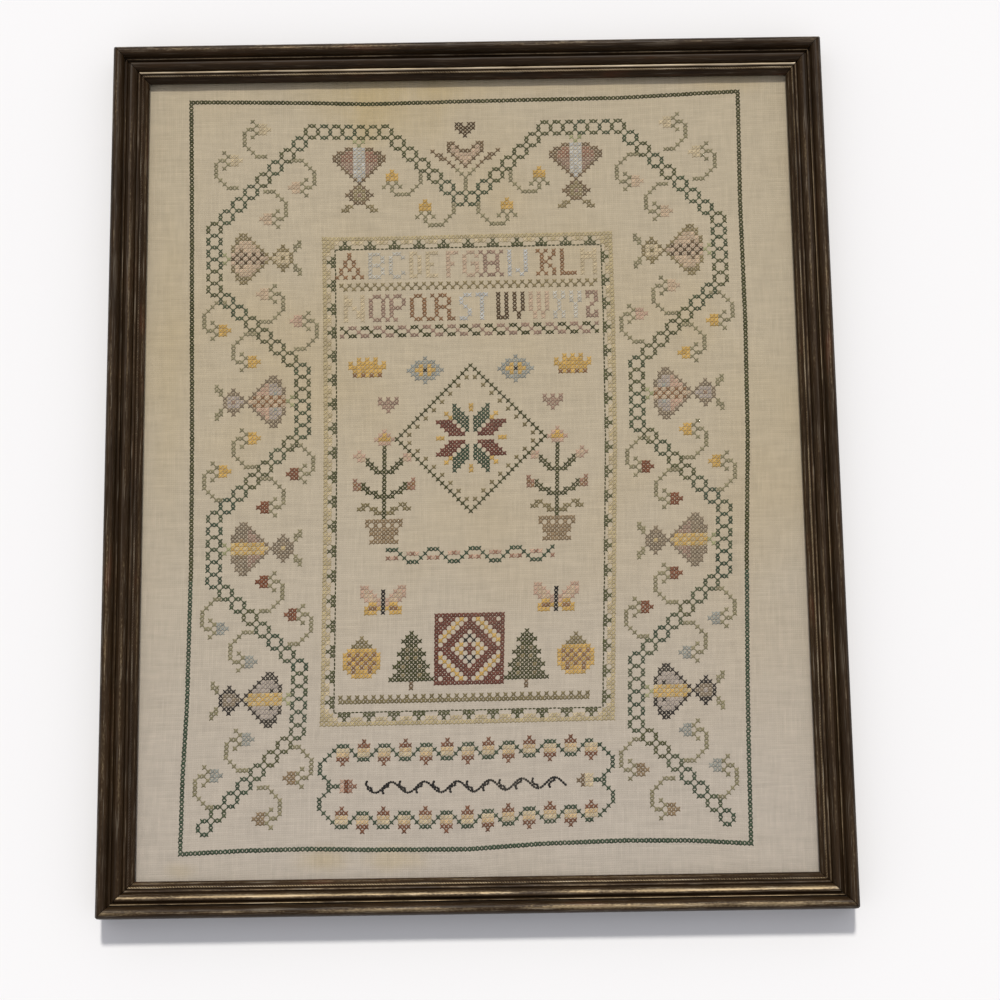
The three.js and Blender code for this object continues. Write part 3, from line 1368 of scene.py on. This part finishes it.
class Seamstress:
    """Turns books of stitches into meshes of real thread."""

    def __init__(self, linen: Linen, grid: StitchGrid, seed: int = 27) -> None:
        """Readies the thread model, the colours and the seeded hand."""
        self.linen = linen
        self.grid = grid
        self.points, self.faces, self.uv = ThreadArm().build()
        self.finishes: dict[Floss, bpy.types.Material] = {}
        self.taken: set[Cell] = set()
        self.draw = random.Random(seed)
        self.hand = np.random.default_rng(seed)
        self.slip = 0.07 * MM
        self.sink = 0.02 * MM

    def open_book(self) -> Book:
        """Starts a book whose crosses keep clear of those already worked."""
        return Book(self.taken, self.draw)

    def sew(self, book: Book, name: str) -> bpy.types.Object:
        """Copies the thread along every stitch of a book into one mesh.

        Args:
            book: The stitches.
            name: The piece's name.

        Returns:
            The finished piece.
        """
        stitches = book.stitches
        start = self._holes([stitch.start for stitch in stitches])
        end = self._holes([stitch.end for stitch in stitches])
        mesh = self._mesh(name, len(stitches), self._lay(stitches, start, end))
        self._dress(mesh, stitches)
        piece = bpy.data.objects.new(name, mesh)
        bpy.context.scene.collection.objects.link(piece)
        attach(piece, BODY)
        log.info("%s: %d stitches, %d faces", name, len(stitches), len(mesh.polygons))
        return piece

    def _holes(self, stations: Sequence[Point]) -> np.ndarray:
        """Where the holes at these grid places lie on the cloth, each a little off."""
        holes = np.stack(self.grid.place(*np.array(stations).T), 1)
        return holes + self.hand.normal(0, self.slip, holes.shape)

    def _lay(self, stitches: Sequence[Stitch], start: np.ndarray, end: np.ndarray) -> np.ndarray:
        """Places every copy of the thread.

        Args:
            stitches: The stitches.
            start: Where each begins on the cloth.
            end: Where each ends.

        Returns:
            The vertices of all copies, one after another.
        """
        middle = (start + end) / 2
        half = (end - start) / 2
        side = np.stack([-half[:, 1], half[:, 0]], 1) / np.linalg.norm(half, axis=1, keepdims=True)
        width = np.array([stitch.half_width for stitch in stitches])
        height = np.array([stitch.height for stitch in stitches])
        along, across, up = self.points.T
        flat = middle[:, None] + along[None, :, None] * half[:, None]
        flat = flat + (across[None] * width[:, None])[..., None] * side[:, None]
        cloth = self.linen.top_at(middle[:, 0], middle[:, 1]) - self.sink
        level = cloth[:, None] + up[None] * height[:, None]
        return np.concatenate([flat, level[..., None]], 2).reshape(-1, 3)

    def _mesh(self, name: str, copies: int, points: np.ndarray) -> bpy.types.Mesh:
        """Builds the joined mesh with its UV map."""
        each = len(self.points)
        faces = [[corner + each * copy for corner in face] for copy in range(copies) for face in self.faces]
        mesh = bpy.data.meshes.new(name)
        mesh.from_pydata(points.tolist(), [], faces)
        note_uv(mesh, np.tile(self.uv, (copies, 1)))
        mesh.shade_smooth()
        return mesh

    def _dress(self, mesh: bpy.types.Mesh, stitches: Sequence[Stitch]) -> None:
        """Gives each stitch its thread colour and shade, the upper arms' shade raised as a painted
        highlight.
        """
        used = sorted({stitch.floss for stitch in stitches}, key=lambda floss: floss.letter)
        for floss in used:
            if floss not in self.finishes:
                self.finishes[floss] = FlossFinish(floss).material()
            mesh.materials.append(self.finishes[floss])
        slots = np.repeat([used.index(stitch.floss) for stitch in stitches], len(self.faces))
        mesh.polygons.foreach_set("material_index", slots.astype(np.int32))
        note_points(mesh, "shade", np.repeat([stitch.shade for stitch in stitches], len(self.points)))
        mesh.update()


@dataclass(frozen=True)
class Needlework:
    """A worked motif or border. Each kind fills its own book."""

    grid: StitchGrid
    name = "needlework"

    def work(self, book: Book) -> None:
        """Puts the stitches into the book."""
        raise NotImplementedError

    def build(self, seamstress: Seamstress) -> bpy.types.Object:
        """Works the book and sews it.

        Args:
            seamstress: Who sews the pieces.

        Returns:
            The sewn piece.
        """
        book = seamstress.open_book()
        self.work(book)
        return seamstress.sew(book, self.name)

    def both(self, column: int) -> tuple[int, int]:
        """A column and its mirror image about the sampler's middle."""
        return column, 2 * self.grid.centre - column


@dataclass(frozen=True)
class OuterLine(Needlework):
    """The single line of crosses round the whole sampler."""

    name = "outer_line"
    spruce_from: int = 120
    fullness: float = 1.16

    def work(self, book: Book) -> None:
        """Works the four sides of the line in a fuller thread."""
        book.half_width *= self.fullness
        last_row = self.grid.last_row
        for column in range(self.grid.last_column + 1):
            book.cross(column, 0, Floss.FOREST)
            book.cross(column, last_row, Floss.SPRUCE)
        for row in range(1, last_row):
            floss = Floss.FOREST if row < self.spruce_from else Floss.SPRUCE
            book.crosses([(column, row) for column in self.both(0)], floss)


@dataclass(frozen=True)
class ChainBand(Needlework):
    """The chain of rings that zigzags up both sides and hangs in a V at the top.

    A run says how many rings follow, and how many steps right and down each of them lies.
    """

    name = "chain_band"
    step: int = 3
    start: Point = (5.5, 176.5)
    zigzag: tuple[tuple[int, int, float], ...] = ((7, 1, -1), (5, 0, -1), (7, -1, -1), (5, 0, -1))
    zigzags: int = 2
    head: tuple[tuple[int, int, float], ...] = ((8, 1, -25 / 24), (6, 1, 0), (6, 1, 1))
    ring: tuple[str, ...] = (".GG.", "G..G", "G..G", ".GG.")
    ring_radius: float = 1.5
    spruce_from: int = 100

    def work(self, book: Book) -> None:
        """Works every ring along both halves of the band."""
        for column, row in self._centres():
            skeins = (Floss.SPRUCE, Floss.SPRUCE, Floss.MYRTLE) if row > self.spruce_from else (Floss.MOSS,)
            floss = book.draw.choice((*skeins, Floss.MOSS, Floss.MYRTLE))
            for right, down, _ in charted(self.ring, LEGEND):
                for side in self.both(round(column - self.ring_radius) + right):
                    book.cross(side, row - self.ring_radius + down, floss)

    def _centres(self) -> Iterable[Point]:
        """The left half's ring centres, from the bottom up."""
        column, row = self.start
        yield column, row
        for count, right, down in self.zigzag * self.zigzags + self.head:
            for _ in range(count):
                column += right * self.step
                row += down * self.step
                yield column, row


@dataclass(frozen=True)
class BlossomColours:
    """The threads of one bell-shaped blossom."""

    outline: Floss
    upper: Floss
    lower: Floss
    band: Floss
    lattice: Floss
    dot: Floss
    bud: Floss
    bud_fill: Floss | None
    bud_dot: Floss
    leaf: Floss = Floss.SAGE

    def legend(self) -> dict[str, Floss]:
        """The blossom chart's letters with these threads. A bare place has none."""
        threads = {
            "l": Floss.PALE_GREEN,
            "o": self.outline,
            "f": self.upper,
            "g": self.lower,
            "c": self.band,
            "k": self.lattice,
            "x": self.dot,
            "h": self.bud,
            "i": self.bud_fill,
            "p": self.bud_dot,
            "a": self.leaf,
        }
        return {letter: floss for letter, floss in threads.items() if floss}


@dataclass(frozen=True)
class BlossomPlace:
    """Where one blossom grows: its link's cell, its turn and its colours."""

    column: int
    row: int
    turn: Turn
    colours: BlossomColours


MAUVE_BLOSSOM = BlossomColours(
    Floss.BROWN, Floss.ROSE, Floss.MAUVE, Floss.SKY, Floss.MIST, Floss.ROSE,
    Floss.BROWN, Floss.KHAKI, Floss.MAUVE, Floss.KHAKI,
)
STRAW_BLOSSOM = BlossomColours(
    Floss.KHAKI, Floss.SHELL, Floss.SHELL, Floss.BLUSH, Floss.COCOA, Floss.BROWN,
    Floss.KHAKI, Floss.FAWN, Floss.OLIVE,
)
PINK_BLOSSOM = BlossomColours(
    Floss.GREY, Floss.LAVENDER, Floss.PINK, Floss.SHELL, Floss.RUST, Floss.DUSTY_BLUE,
    Floss.GREY, Floss.LAVENDER, Floss.MAUVE,
)
GOLD_BLOSSOM = BlossomColours(
    Floss.GREY, Floss.GREY, Floss.MAUVE, Floss.STRAW, Floss.GOLD, Floss.TAN,
    Floss.GREY, Floss.GREY, Floss.STRAW,
)
PLUM_BLOSSOM = BlossomColours(
    Floss.PLUM, Floss.LAVENDER, Floss.LAVENDER, Floss.STRAW, Floss.GOLD, Floss.PLUM,
    Floss.PLUM, Floss.GREY, Floss.LAVENDER,
)


@dataclass(frozen=True)
class Blossoms(Needlework):
    """Ten bell-shaped blossoms, each with a small bud and two leaves at its tip."""

    name = "blossoms"
    pattern: tuple[str, ...] = (
        ".....l.l.....",
        "......l......",
        "...oockcoo...",
        ".ooffkckffoo.",
        "ooffxckcxffoo",
        "oofffkckfffoo",
        ".ogggckcgggo.",
        "..oggkckggo..",
        "...ogckcgo...",
        "....okcko....",
        ".....oco.....",
        "......h......",
        ".....hih.....",
        "....hiiih....",
        "...hhipihh...",
        "....hiiih....",
        ".....hhh.....",
        "...aa...aa...",
        "..aa.....aa..",
    )
    growing: tuple[BlossomPlace, ...] = (
        BlossomPlace(41, 10, Turn.DOWN, MAUVE_BLOSSOM),
        BlossomPlace(94, 10, Turn.DOWN, MAUVE_BLOSSOM),
        BlossomPlace(8, 40, Turn.RIGHT, STRAW_BLOSSOM),
        BlossomPlace(126, 40, Turn.LEFT, STRAW_BLOSSOM),
        BlossomPlace(24, 76, Turn.LEFT, PINK_BLOSSOM),
        BlossomPlace(110, 76, Turn.RIGHT, PINK_BLOSSOM),
        BlossomPlace(8, 112, Turn.RIGHT, GOLD_BLOSSOM),
        BlossomPlace(126, 112, Turn.LEFT, GOLD_BLOSSOM),
        BlossomPlace(24, 148, Turn.LEFT, PLUM_BLOSSOM),
        BlossomPlace(110, 148, Turn.RIGHT, PLUM_BLOSSOM),
    )

    def work(self, book: Book) -> None:
        """Works the chart at each place in its own colours."""
        for place in self.growing:
            book.chart(self.pattern, place.column, place.row, place.colours.legend(), place.turn)


@dataclass(frozen=True)
class SprigSet:
    """Sprigs of the left half that are alike: their flowers' cells, their turn and their flowers' thread."""

    cells: tuple[Cell, ...]
    turn: Turn
    flower: Floss


@dataclass(frozen=True)
class Sprigs(Needlework):
    """The curling sprigs on both sides of the chain, alike on the right half."""

    name = "sprigs"
    pattern: tuple[str, ...] = (
        "..sss...",
        ".....s..",
        "......s.",
        ".......s",
        ".......s",
        ".....s.s",
        "..ffs..s",
        ".fff.ss.",
        "..ffs...",
        ".....s..",
    )
    flower_at: Cell = (2, 7)
    stem: Floss = Floss.SAGE
    left_half: tuple[SprigSet, ...] = (
        SprigSet(((18, 7), (11, 15)), Turn.ROTATED, Floss.FAWN),
        SprigSet(((25, 22), (18, 30)), Turn.DOWN, Floss.SHELL),
        SprigSet(((49, 19), (57, 27)), Turn.LEFT, Floss.GOLD),
        SprigSet(((17, 49),), Turn.UPTURNED, Floss.SHELL),
        SprigSet(((25, 56),), Turn.UPTURNED, Floss.PINK),
        SprigSet(((8, 58), (15, 66)), Turn.MIRRORED, Floss.GOLD),
        SprigSet(((15, 85), (8, 93)), Turn.ROTATED, Floss.GOLD),
        SprigSet(((24, 94), (17, 102)), Turn.DOWN, Floss.RED),
        SprigSet(((17, 120), (24, 128)), Turn.UPTURNED, Floss.RED),
        SprigSet(((8, 131), (15, 139)), Turn.MIRRORED, Floss.DUSTY_BLUE),
        SprigSet(((15, 157), (8, 165)), Turn.ROTATED, Floss.DUSTY_BLUE),
        SprigSet(((25, 166), (18, 175)), Turn.DOWN, Floss.TAN),
    )

    def work(self, book: Book) -> None:
        """Works every sprig of the left half and its mirror image."""
        for alike in self.left_half:
            legend = {"s": self.stem, "f": alike.flower}
            for place, row in alike.cells:
                for right, down, floss in charted(self.pattern, legend, self.flower_at, alike.turn):
                    book.crosses([(column, row + down) for column in self.both(place + right)], floss)


@dataclass(frozen=True)
class Hearts(Needlework):
    """Two hearts and a garland over the chain's V."""

    name = "hearts"
    small: tuple[str, ...] = ("DD.DD", "DDDDD", ".DDD.", "..D..")
    large: tuple[str, ...] = (
        "NN.....NN",
        "NpN...NpN",
        "NppNNNppN",
        ".NpppppN.",
        "..NpppN..",
        "...NpN...",
        "....N....",
    )
    small_row: int = 6
    large_row: int = 11
    garland_row: int = 13
    garland: tuple[Cell, ...] = ((8, 0), (7, 1), (6, 1), (6, 2), (5, 2), (4, 3), (3, 4))
    stalk: tuple[Cell, ...] = ((2, 5), (1, 6), (0, 7), (0, 8), (0, 9), (0, 10))

    def work(self, book: Book) -> None:
        """Works the hearts, then the garland under them."""
        middle = self.grid.centre
        book.chart(self.small, middle, self.small_row)
        book.chart(self.large, middle, self.large_row)
        for cells, floss in ((self.garland, Floss.BROWN), (self.stalk, Floss.SAGE)):
            for out, down in cells:
                for column in self.both(middle - out):
                    book.cross(column, self.garland_row + down, floss)


@dataclass(frozen=True)
class BudBorder(Needlework):
    """The panel's border: a running line with buds on it, and a pale stepped band outside."""

    name = "bud_border"
    step: int = 6
    first_column: int = 37
    last_column: int = 97
    top_row: int = 37
    bottom_row: int = 152
    left_column: int = 34
    right_column: int = 100
    first_row: int = 41
    last_row: int = 149
    dash: float = 0.8
    inset: float = 0.6
    right_inset: float = 0.3

    def work(self, book: Book) -> None:
        """Works the buds, the running line and the pale band."""
        self._buds(book)
        self._running_line(book)
        self._pale_band(book)

    def _buds(self, book: Book) -> None:
        """Three crosses on the line and one outwards, every six cells."""
        for column in range(self.first_column, self.last_column + 1, self.step):
            for row, out in ((self.top_row, -1), (self.bottom_row, 1)):
                book.crosses([(column + step, row) for step in (-1, 0, 1)], Floss.MOSS)
                book.cross(column, row + out, Floss.MOSS)
        for row in range(self.first_row, self.last_row + 1, self.step):
            for column, out in ((self.left_column, -1), (self.right_column, 1)):
                book.crosses([(column, row + step) for step in (-1, 0, 1)], Floss.MOSS)
                book.cross(column + out, row, Floss.MOSS)

    def _running_line(self, book: Book) -> None:
        """Running stitches just inside the buds, one to a cell."""
        left = self.left_column + self.inset
        right = self.right_column - self.right_inset
        top = self.top_row + self.inset
        bottom = self.bottom_row - self.inset
        for column in range(self.left_column + 1, self.right_column):
            for level in (top, bottom):
                start = (column - self.dash / 2, level)
                book.straight(start, (column + self.dash / 2, level), Floss.FOREST)
        for row in range(self.top_row + 1, self.bottom_row):
            for side in (left, right):
                start = (side, row - self.dash / 2)
                book.straight(start, (side, row + self.dash / 2), Floss.FOREST)

    def _pale_band(self, book: Book) -> None:
        """A pale outer row, with a tooth between two buds and a block in each corner."""
        for column, out in ((self.left_column, -1), (self.right_column, 1)):
            for row, down in ((self.top_row, -1), (self.bottom_row, 1)):
                block = [(column + a * out, row + b * down) for a in (0, 1, 2) for b in (0, 1, 2)]
                book.crosses(block, Floss.OCHRE)
        for column in range(self.left_column, self.right_column + 1):
            place = self._tooth_place(column - self.first_column)
            for row, down in ((self.top_row, -1), (self.bottom_row, 1)):
                book.cross(column, row + 2 * down, Floss.OCHRE)
                if place <= 1:
                    book.cross(column, row + down, Floss.FAWN if place else Floss.OCHRE)
        for row in range(self.top_row, self.bottom_row + 1):
            place = self._tooth_place(row - self.first_row)
            for column, out in ((self.left_column, -1), (self.right_column, 1)):
                book.cross(column + 2 * out, row, Floss.OCHRE)
                if place <= 1:
                    book.cross(column + out, row, Floss.FAWN if place else Floss.OCHRE)

    def _tooth_place(self, steps: int) -> int:
        """How many cells a place lies from the middle of its tooth."""
        return abs(steps % self.step - self.step // 2)


@dataclass(frozen=True)
class Letter:
    """One alphabet letter: its thread, its first column and its seven chart rows."""

    floss: Floss
    column: int
    shape: str


@dataclass(frozen=True)
class Alphabet(Needlework):
    """Two lines of capitals, with a chequer line and a braid under them."""

    name = "alphabet"
    first_column: int = 36
    last_column: int = 98
    first_row: int = 39
    second_row: int = 50
    chequer_row: int = 47
    braid_row: int = 58
    first_line: tuple[Letter, ...] = (
        Letter(Floss.RUST, 35, "...X.../...X.../..X.X../..X.X../.X.X.X./.X...X./X.X.X.X"),
        Letter(Floss.MIST, 43, "XXX./X..X/X..X/XXX./X..X/X..X/XXX."),
        Letter(Floss.MIST, 48, ".XX./X..X/X.../X.../X.../X..X/.XX."),
        Letter(Floss.FAWN, 53, "XX./X.X/X.X/X.X/X.X/X.X/XX."),
        Letter(Floss.FAWN, 57, "XXX/X../X../XX./X../X../XXX"),
        Letter(Floss.BLUSH, 62, "XXX/X../X../XX./X../X../X.."),
        Letter(Floss.BLUSH, 66, ".XX./X..X/X.../X.XX/X..X/X..X/.XX."),
        Letter(Floss.MAUVE, 70, "X.XX.X/.X..X./.X..X./.XXXX./.X..X./.X..X./X.XX.X"),
        Letter(Floss.SKY, 77, "X/X/X/X/X/X/X"),
        Letter(Floss.SKY, 79, "..X/..X/..X/..X/..X/X.X/.X."),
        Letter(Floss.RUST, 84, "X.X.X/.X..X/.X.X./.XX../.X.X./.X..X/X.X.X"),
        Letter(Floss.RUST, 90, "X.../X.../X.../X.../X.../X.../XXXX"),
        Letter(Floss.FAWN, 95, "X..X/XXXX/XXXX/X..X/X..X/X..X/X..X"),
    )
    second_line: tuple[Letter, ...] = (
        Letter(Floss.FAWN, 37, "X...X/XX..X/XX..X/X.X.X/X..XX/X..XX/X...X"),
        Letter(Floss.MAUVE, 43, ".XX./X..X/X..X/X..X/X..X/X..X/.XX."),
        Letter(Floss.MAUVE, 47, "X.XX./.X..X/.X..X/.XXX./.X.../.X.../X.X.."),
        Letter(Floss.RUST, 53, ".XX.../X..X../X..X../X..X../X..X../X..X../.XX.XX"),
        Letter(Floss.RUST, 58, "X.XX../.X..X./.X..X./.XXX../.X..X./.X..X./..X.XX"),
        Letter(Floss.SKY, 65, ".XX/X../X../.X./..X/..X/XX."),
        Letter(Floss.SKY, 69, "XXX/.X./.X./.X./.X./.X./.X."),
        Letter(Floss.COCOA, 74, "X.X/X.X/X.X/X.X/X.X/X.X/XXX"),
        Letter(Floss.COCOA, 78, "X.X/X.X/X.X/X.X/X.X/.X./.X."),
        Letter(Floss.BLUSH, 82, "X.X.X/X.X.X/X.X.X/X.X.X/X.X.X/.X.X./.X.X."),
        Letter(Floss.MIST, 88, "X.X/X.X/.X./.X./.X./X.X/X.X"),
        Letter(Floss.MIST, 92, "X.X/X.X/X.X/.X./.X./.X./.X."),
        Letter(Floss.MAUVE, 96, "XXX/X.X/..X/.X./X../X.X/XXX"),
    )
    braid: tuple[str, ...] = ("GG.MM.", "..G..M", "MM.GG.")

    def work(self, book: Book) -> None:
        """Works both lines of letters and both bands."""
        self._line(book, self.first_line, self.first_row)
        self._line(book, self.second_line, self.second_row)
        for column in range(self.first_column, self.last_column + 1):
            book.cross(column, self.chequer_row + column % 2, Floss.KHAKI)
            for down, line in enumerate(self.braid):
                letter = line[(column - self.first_column + 1) % len(line)]
                if letter in LEGEND:
                    book.cross(column, self.braid_row + down, LEGEND[letter])

    def _line(self, book: Book, letters: Sequence[Letter], row: int) -> None:
        """Works one line of letters."""
        for letter in letters:
            for right, down, floss in charted(letter.shape.split("/"), {"X": letter.floss}):
                book.cross(letter.column + right, row + down, floss)


@dataclass(frozen=True)
class PlacedChart:
    """A pair of garden motifs: their half chart, the left one's middle column and the first row."""

    half: tuple[str, ...]
    column: int
    row: int


@dataclass(frozen=True)
class Garden(Needlework):
    """The panel's field: a star in a diamond, flower pots, small motifs, a vine and a foot band."""

    name = "garden"
    star_row: int = 86
    star_reach: int = 18
    petal: int = 4
    quilt_row: int = 129
    quilt_reach: int = 8
    quilt_period: int = 6
    vine_row: int = 113
    vine: tuple[int, ...] = (0, 0, 0, 1, 2, 3, 3, 3, 2, 1)
    vine_first: int = 47
    vine_last: int = 87
    foot_row: int = 148
    foot_first: int = 36
    foot_last: int = 96
    motifs: tuple[PlacedChart, ...] = (
        PlacedChart(
            (
                ".......P",
                "......PU",
                ".....PUU",
                "......PP",
                ".......G",
                ".P.....G",
                "PLP....G",
                ".PLG...G",
                "...GG..G",
                "....GG.G",
                ".....GGG",
                ".......G",
                "R......G",
                "TRG....G",
                "RTGG...G",
                "...GGG.G",
                ".....GGG",
                ".......G",
                "..OO...G",
                ".OO.OO.G",
                ".....OOG",
                ".......G",
                "...WWWWW",
                "...W.W.W",
                "....WWWW",
                "....WWWW",
                ".....WWW",
                "....WWWW",
            ),
            46,
            84,
        ),
        PlacedChart(("M.M", "MMM", ".MM", "..M"), 47, 76),
        PlacedChart(("..U.U", "U.UUU", "UUUUU", ".UUUU", ".TUTU"), 42, 66),
        PlacedChart(("....B", "..BBB", ".BBUB", "BBUUJ", ".BBUB", "..BBB", "....B"), 56, 66),
        PlacedChart(
            (
                "....K",
                "...OO",
                "..OKO",
                ".UUUU",
                "UTUTU",
                "UUTUT",
                "UTUTU",
                "UUTUT",
                ".UTUU",
                "..UUU",
            ),
            41,
            134,
        ),
        PlacedChart(
            (
                "......G",
                ".....GG",
                "....GGG",
                ".....GG",
                "....GOG",
                "...GGGG",
                "....GOG",
                "...GGGG",
                "..GGOGG",
                "...GGGG",
                "..GGOGG",
                ".GGGGGG",
                "......N",
                "......N",
            ),
            53,
            133,
        ),
        PlacedChart(("PP....", "PLP..J", "PLLP.J", ".PLLPJ", "..UUPJ", ".UTTUJ", ".UUU.J"), 46, 122),
    )

    def work(self, book: Book) -> None:
        """Works the star, the paired motifs, the quilt block, the vine and the foot band."""
        self._star(book)
        for motif in self.motifs:
            for column in self.both(motif.column):
                book.chart(whole(motif.half), column, motif.row)
        self._quilt_block(book)
        self._vine(book)
        self._foot(book)

    def _star(self, book: Book) -> None:
        """An eight-pointed star inside two diamonds."""
        middle = self.grid.centre
        reach = self.star_reach
        for across in range(-reach, reach + 1):
            for down in range(-reach, reach + 1):
                far = abs(across) + abs(down)
                near = min(abs(across), abs(down))
                wide = max(abs(across), abs(down))
                cell = (middle + across, self.star_row + down)
                if far == reach:
                    book.cross(*cell, Floss.FOREST)
                elif far == reach - 2 and across % 2:
                    book.cross(*cell, Floss.OLIVE)
                elif 1 <= near <= self.petal and near < wide <= near + self.petal:
                    book.cross(*cell, Floss.SPRUCE if abs(across) < abs(down) else Floss.BRICK)
                elif near == wide and wide in (5, 6) or near == 0 and wide in (7, 8):
                    book.cross(*cell, Floss.GOLD)

    def _quilt_block(self, book: Book) -> None:
        """A brick-red block with gold diamonds."""
        middle = self.grid.centre
        reach = self.quilt_reach
        for across in range(-reach, reach + 1):
            for down in range(2 * reach + 1):
                cell = (middle + across, self.quilt_row + down)
                edge = abs(across) == reach or down in (0, 2 * reach)
                ring = (abs(across) + abs(down - reach)) % self.quilt_period
                if edge or ring in (0, 1, 5):
                    book.cross(*cell, Floss.BRICK)
                elif ring == 3:
                    book.cross(*cell, Floss.PLUM if abs(across) < 2 else Floss.GOLD)

    def _vine(self, book: Book) -> None:
        """A low wavy vine with a small flower in each bend."""
        for column in range(self.vine_first, self.vine_last + 1):
            phase = (column - self.vine_first) % len(self.vine)
            book.cross(column, self.vine_row + self.vine[phase], Floss.SPRUCE)
            for bend, level in (((0, 1, 2), 2), ((5, 6, 7), 1)):
                if phase in bend:
                    book.cross(column, self.vine_row + level, Floss.PINK if phase % 2 else Floss.ROSE)

    def _foot(self, book: Book) -> None:
        """An olive line with a row of single crosses on it."""
        for column in range(self.foot_first, self.foot_last + 1):
            book.cross(column, self.foot_row + 1, Floss.OLIVE)
            if column % 2 == 0:
                book.cross(column, self.foot_row, Floss.OLIVE)


@dataclass(frozen=True)
class Cartouche(Needlework):
    """The long oval of vine and flowers at the foot, with a plain black scroll inside."""

    name = "cartouche"
    first: int = 37
    last: int = 97
    period: int = 10
    upper_row: int = 159
    lower_row: int = 177
    crest: tuple[tuple[int, int], ...] = ((0, 0), (1, 0), (2, 1), (3, 2), (4, 3), (5, 3))
    scroll_row: float = 168.3
    scroll_first: int = 43
    scroll_last: int = 91
    scroll_width: float = 1.4
    scroll_sway: float = 1.2
    scroll_turn: float = 0.8
    first_tendril: int = 2
    tendril_pitch: int = 8
    tendril: tuple[float, ...] = (0.0, 0.7, 1.4, 2.1, 2.8, 3.5, 4.2)
    end: tuple[Cell, ...] = (
        (35, 160),
        (34, 161),
        (33, 162),
        (32, 163),
        (32, 164),
        (32, 165),
        (33, 166),
        (34, 167),
    )

    def work(self, book: Book) -> None:
        """Works both waves, their flowers, the two ends and the scroll."""
        self._wave(book, self.upper_row, 1)
        self._wave(book, self.lower_row, -1)
        self._ends(book)
        self._scroll(book)

    def _wave(self, book: Book, row: int, down: int) -> None:
        """One wave of vine with a flower in every bend.

        Args:
            book: The cartouche's book.
            row: The row of the outer bends.
            down: 1 where the inner bends lie below the outer ones, -1 where above.
        """
        for column in range(self.first, self.last + 1, self.period):
            for out, step in self.crest:
                if column + out <= self.last:
                    book.cross(column + out, row + down * step, Floss.SPRUCE)
                if column - out >= self.first - 1:
                    book.cross(column - out, row + down * step, Floss.SPRUCE)
            self._flower(book, column, row + down * 3, down)
        for column in range(self.first + self.period // 2, self.last, self.period):
            self._flower(book, column, row, -down)

    def _flower(self, book: Book, column: int, row: int, down: int) -> None:
        """A small flower: three crosses, one beyond them and a peach fill behind."""
        book.crosses([(column + step, row) for step in (-1, 0, 1)], Floss.COPPER)
        book.cross(column, row + down, Floss.COPPER)
        for back, fill in ((1, Floss.PEACH), (2, Floss.FAWN)):
            book.crosses([(column + step, row - down * back) for step in (-1, 0, 1)], fill)

    def _ends(self, book: Book) -> None:
        """Rounds both ends off and sets a sideways flower in each."""
        middle = (self.upper_row + self.lower_row) // 2
        for column, row in self.end:
            for side in self.both(column):
                book.cross(side, row, Floss.SPRUCE)
                book.cross(side, 2 * middle - row, Floss.SPRUCE)
        for out in (34, 35, 36):
            for side in self.both(out):
                book.cross(side, middle, Floss.SPRUCE)
        for out, *threads in (
            (37, Floss.PINK, Floss.FAWN),
            (38, Floss.RED, Floss.FAWN),
            (39, Floss.ROSE, Floss.BROWN),
        ):
            for side, floss in zip(self.both(out), threads):
                book.crosses([(side, middle + step) for step in (-1, 0, 1)], floss)
        for side, floss in zip(self.both(40), (Floss.ROSE, Floss.BROWN)):
            book.cross(side, middle, floss)

    def _scroll(self, book: Book) -> None:
        """A black wavy line in back stitch, with a curled tendril in every bend."""
        steps = (self.scroll_last - self.scroll_first) * 2
        line = [
            (
                self.scroll_first + step / 2,
                self.scroll_row + self.scroll_sway * math.sin(step / 2 * self.scroll_turn),
            )
            for step in range(steps + 1)
        ]
        self._thread(book, line)
        for number, (column, row) in enumerate(line[self.first_tendril :: self.tendril_pitch]):
            self._tendril(book, column, row, -1 if number % 2 else 1)

    def _tendril(self, book: Book, column: float, row: float, up: int) -> None:
        """One tendril that curls back over the scroll, towards the top where up is 1."""
        curl = [
            (column + 0.4 * turn * math.cos(turn), row - up * (0.5 * turn + 0.3 * math.sin(2 * turn)))
            for turn in self.tendril
        ]
        self._thread(book, curl)

    def _thread(self, book: Book, line: Sequence[Point]) -> None:
        """Works a line in black back stitch from place to place."""
        for start, end in zip(line, line[1:]):
            book.straight(start, end, Floss.BLACK, self.scroll_width)


def dress_solids() -> None:
    """Gives the pane and the board, which keep their solids, their finishes."""
    finishes = {"glass_pane": GlassFinish(), "backing_board": BoardFinish()}
    for node, finish in finishes.items():
        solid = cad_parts[node]
        solid.data.materials.clear()
        solid.data.materials.append(finish.material())
        log.info("%s: dressed", node)


def main() -> None:
    """Builds the sampler from the outside in and reports each piece."""
    logging.basicConfig(level=logging.INFO, format="%(name)s %(message)s")
    Studio().build()
    Moulding().build()
    dress_solids()
    grid = StitchGrid()
    linen = Linen(grid)
    seamstress = Seamstress(linen, grid)
    kinds = (OuterLine, ChainBand, Blossoms, Sprigs, Hearts, BudBorder, Alphabet, Garden, Cartouche)
    needlework = [kind(grid).build(seamstress) for kind in kinds]
    linen.build(needlework)


if __name__ == "__main__":
    main()
